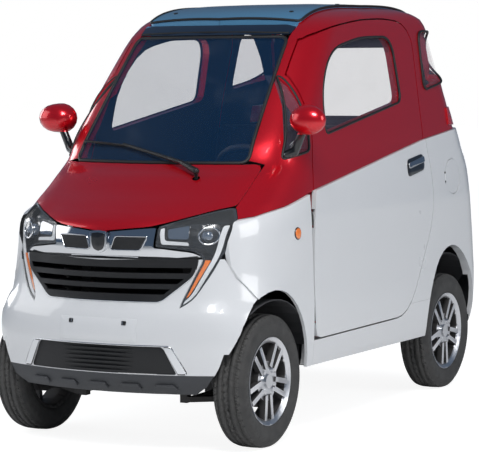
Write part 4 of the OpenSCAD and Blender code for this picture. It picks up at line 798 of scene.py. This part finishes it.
class QUAD_OT_face(Dress):
    """Bright trim, lamps inside their covers, markers and handles"""
    bl_idname, bl_label = "quad.face", "Lamps and Bright Trim"

    def build(self, context):
        chrome = metal("bright_trim", (0.80, 0.81, 0.83), 0.07, (300, 18))
        dark = moulded("trim_mesh", (0.012, 0.012, 0.013), 260, 0.4, 0.8)
        gloss = lacquer("gloss_black", (0.006, 0.006, 0.008), 0.0, 0.05)
        amber = pane("amber_lens", (0.95, 0.22, 0.01), 0.97, 0.08)
        guide = moulded("light_guide", (0.75, 0.77, 0.8), 300, 0.25, 0.5)
        cells = metal("reflector_cells", (0.85, 0.86, 0.88), 0.05, (60, 12))

        def bar(a, t, b):
            lean = 0.011 * max(0, (b - 0.752) / 0.08) ** 2 + 0.012 * max(0, (0.752 - b) / 0.028)
            return (a, NOSE / 1000 + 0.036 + 0.62 * a * a + lean + t, b)

        plate("chrome_bar", rounded(mirrored(BAR)), 0.008, bar, chrome, "body", "chrome_bar", "chrome_trim", step=0.02)
        for sign in (1, -1):
            mesh = [[sign * a, b] for a, b in rounded(BAR_MESH)]
            proud = lambda a, t, b: Vector(bar(a, t, b)) - Vector((0, 0.001, 0))
            plate(f"bar_mesh_{sign}", mesh, 0.004, proud, dark, "body", "dark_moulding", step=0.02)
            rim = [Vector(bar(a / 1000, -0.001, b / 1000)) for a, b in dense(mesh)]
            tube_piece(f"bar_mesh_rim_{sign}", rim, 0.0028, chrome, "body", "chrome_bar")
        flat = lambda shift: lambda a, t, b: (a, NOSE / 1000 + shift + t, b)
        shield = rounded(mirrored(SHIELD))
        plate("shield", shield, 0.016, flat(0.024), chrome, "body", "chrome_bar", soft=0.003)
        inner = [[a * 0.8, SHIELD_Z + (b - SHIELD_Z) * 0.8] for a, b in shield]
        plate("shield_face", inner, 0.006, flat(0.0225), gloss, "body", "dark_moulding", soft=0.001)
        line = on_body(dense(rounded(LOUVRE_EDGE))[:-LOUVRE_GAP], "front", 1, -0.001)
        tube_piece("louvre_edge", line, 0.003, chrome, "body", "chrome_bar", closed=False)
        line = on_body(dense(rounded(LOWER_EDGE))[:-LOWER_GAP], "front", 1, 0.001)
        tube_piece("lower_edge", line, 0.003, chrome, "body", "chrome_bar", closed=False)
        smooth_panel("headlamp_housings", "headlamp_bowls", gloss)
        for sign, side in ((1, "left"), (-1, "right")):
            for name, outline, inset, finish, slot in (
                    ("running_lamp", RUNNING_LAMP, 0.0058, guide, "clear_lens"),
                    ("turn_lamp", TURN_LAMP, 0.0062, amber, "clear_lens"),
                    ("light_guide", LIGHT_GUIDE, 0.008, guide, "clear_lens"),
                    ("reflector", REFLECTOR, 0.014, cells, "lamp_bowl"),
                    ("strip_lamp", STRIP_LAMP, -0.002, cells, "lamp_bowl")):
                plate(f"{name}_{side}", rounded(outline), 0.006, lay_on("front", sign, inset), finish,
                      "body", slot, step=0.015)
            line = on_body(ring(PROJECTOR_X, PROJECTOR_Z, 33, 32), "front", sign, 0.0085)
            tube_piece(f"projector_ring_{side}", line, 0.0035, chrome, "body", "lamp_bowl")
            spot = lay_on("front", sign, 0.0)(PROJECTOR_X / 1000, 0, PROJECTOR_Z / 1000)
            way = SMOOTH.normal(spot)
            lens = pane(f"projector_lens_{side}", (0.10, 0.13, 0.18), 0.9)
            turned(f"projector_{side}", bpy.ops.mesh.primitive_uv_sphere_add, spot - way * 0.031, way, lens,
                   "body", "clear_lens", segments=32, ring_count=16, radius=0.026)
            disc = ring(MARKER_Y, MARKER_Z, 21, 24)
            plate(f"side_marker_{side}", disc, 0.010, lay_on("side", sign, -0.011), amber,
                  "body", "clear_lens", soft=0.003)
            tube_piece(f"marker_ring_{side}", on_body(disc, "side", sign, -0.006), 0.0035, gloss,
                       "body", "dark_moulding")
            plate(f"handle_cup_{side}", rounded(HANDLE_CUP), 0.004, lay_on("side", sign, -0.0088), gloss,
                  "door_" + side, "dark_moulding", soft=0.001)
            plate(f"handle_bar_{side}", rounded(HANDLE_BAR), 0.007, lay_on("side", sign, -0.0165), chrome,
                  "door_" + side, "chrome_bar", soft=0.003)


class QUAD_OT_studio(Dress):
    """Floor, lights and camera"""
    bl_idname, bl_label = "quad.studio", "Studio"

    def build(self, context):
        scene = context.scene
        scene.view_settings.view_transform = "Standard"
        bpy.ops.mesh.primitive_plane_add(size=60, location=(0, 0, 0))
        floor = context.active_object
        floor.name = "studio_floor"
        f = Finish("studio_floor")
        ray = f.node("ShaderNodeLightPath", {}, {}, 0)
        soft = f.node("ShaderNodeBsdfDiffuse", {}, {0: (0.86, 0.86, 0.86, 1)})
        lit = f.node("ShaderNodeEmission", {}, {0: (1, 1, 1, 1), 1: 1.5})
        surface = f.node("ShaderNodeMixShader", {}, {0: ray * 0.6, 1: soft, 2: lit})
        f.node("ShaderNodeOutputMaterial", {}, {0: surface})
        floor.data.materials.append(f.material)
        world = bpy.data.worlds.new("studio")
        scene.world = world
        world.use_nodes = True
        tree = world.node_tree
        back = tree.nodes["Background"]
        back.inputs[0].default_value = (0.78, 0.84, 0.92, 1)
        back.inputs[1].default_value = 0.42
        seen = tree.nodes.new("ShaderNodeBackground")
        seen.inputs[0].default_value = (1, 1, 1, 1)
        path, either = tree.nodes.new("ShaderNodeLightPath"), tree.nodes.new("ShaderNodeMixShader")
        mirrored_sky, shiny = tree.nodes.new("ShaderNodeBackground"), tree.nodes.new("ShaderNodeMixShader")
        mirrored_sky.inputs[0].default_value = (0.42, 0.62, 0.95, 1)
        mirrored_sky.inputs[1].default_value = 0.16
        tree.links.new(path.outputs["Is Glossy Ray"], shiny.inputs[0])
        tree.links.new(back.outputs[0], shiny.inputs[1])
        tree.links.new(mirrored_sky.outputs[0], shiny.inputs[2])
        tree.links.new(path.outputs[0], either.inputs[0])
        tree.links.new(shiny.outputs[0], either.inputs[1])
        tree.links.new(seen.outputs[0], either.inputs[2])
        tree.links.new(either.outputs[0], tree.nodes["World Output"].inputs[0])
        for name, place, size, power in LIGHTS:
            bpy.ops.object.light_add(type="AREA", location=place)
            lamp = context.active_object
            lamp.name, lamp.data.energy, lamp.data.size = "light_" + name, power, size
            lamp.rotation_euler = (Vector((0, 0, 0.7)) - Vector(place)).to_track_quat("-Z", "Y").to_euler()
        a, e, roll = (math.radians(v) for v in (CAMERA_TURN, CAMERA_LIFT, CAMERA_ROLL))
        back_v = Vector((math.sin(a) * math.cos(e), -math.cos(a) * math.cos(e), math.sin(e)))
        right = Vector((math.cos(a), math.sin(a), 0))
        up = back_v.cross(right)
        right, up = right * math.cos(roll) + up * math.sin(roll), up * math.cos(roll) - right * math.sin(roll)
        bpy.ops.object.camera_add(location=CAMERA_AT)
        camera = context.active_object
        camera.data.lens, camera.data.sensor_width = LENS, 36
        camera.data.clip_end = 100
        camera.rotation_euler = Matrix((right, up, back_v)).transposed().to_euler()
        scene.camera = camera


OPERATORS = [QUAD_OT_panels, QUAD_OT_panes, QUAD_OT_finishes, QUAD_OT_seats, QUAD_OT_wheels, QUAD_OT_face,
             QUAD_OT_studio]


class QUAD_PT_pieces(bpy.types.Panel):
    bl_label, bl_idname = "Quadricycle", "QUAD_PT_pieces"
    bl_space_type, bl_region_type, bl_category = "VIEW_3D", "UI", "Quadricycle"

    def draw(self, context):
        for group in (context.scene.quad_paint, context.scene.quad_trim):
            for key in group.__annotations__:
                self.layout.prop(group, key)
        for operator in OPERATORS:
            self.layout.operator(operator.bl_idname)


def register():
    for kind in (PaintSizes, TrimSizes, *OPERATORS, QUAD_PT_pieces):
        bpy.utils.register_class(kind)
    bpy.types.Scene.quad_paint = bpy.props.PointerProperty(type=PaintSizes)
    bpy.types.Scene.quad_trim = bpy.props.PointerProperty(type=TrimSizes)


def unregister():
    del bpy.types.Scene.quad_paint, bpy.types.Scene.quad_trim
    for kind in reversed((PaintSizes, TrimSizes, *OPERATORS, QUAD_PT_pieces)):
        bpy.utils.unregister_class(kind)


def main():
    register()
    for operator in OPERATORS:
        getattr(bpy.ops.quad, operator.bl_idname.split(".")[1])()


if __name__ == "__main__":
    main()
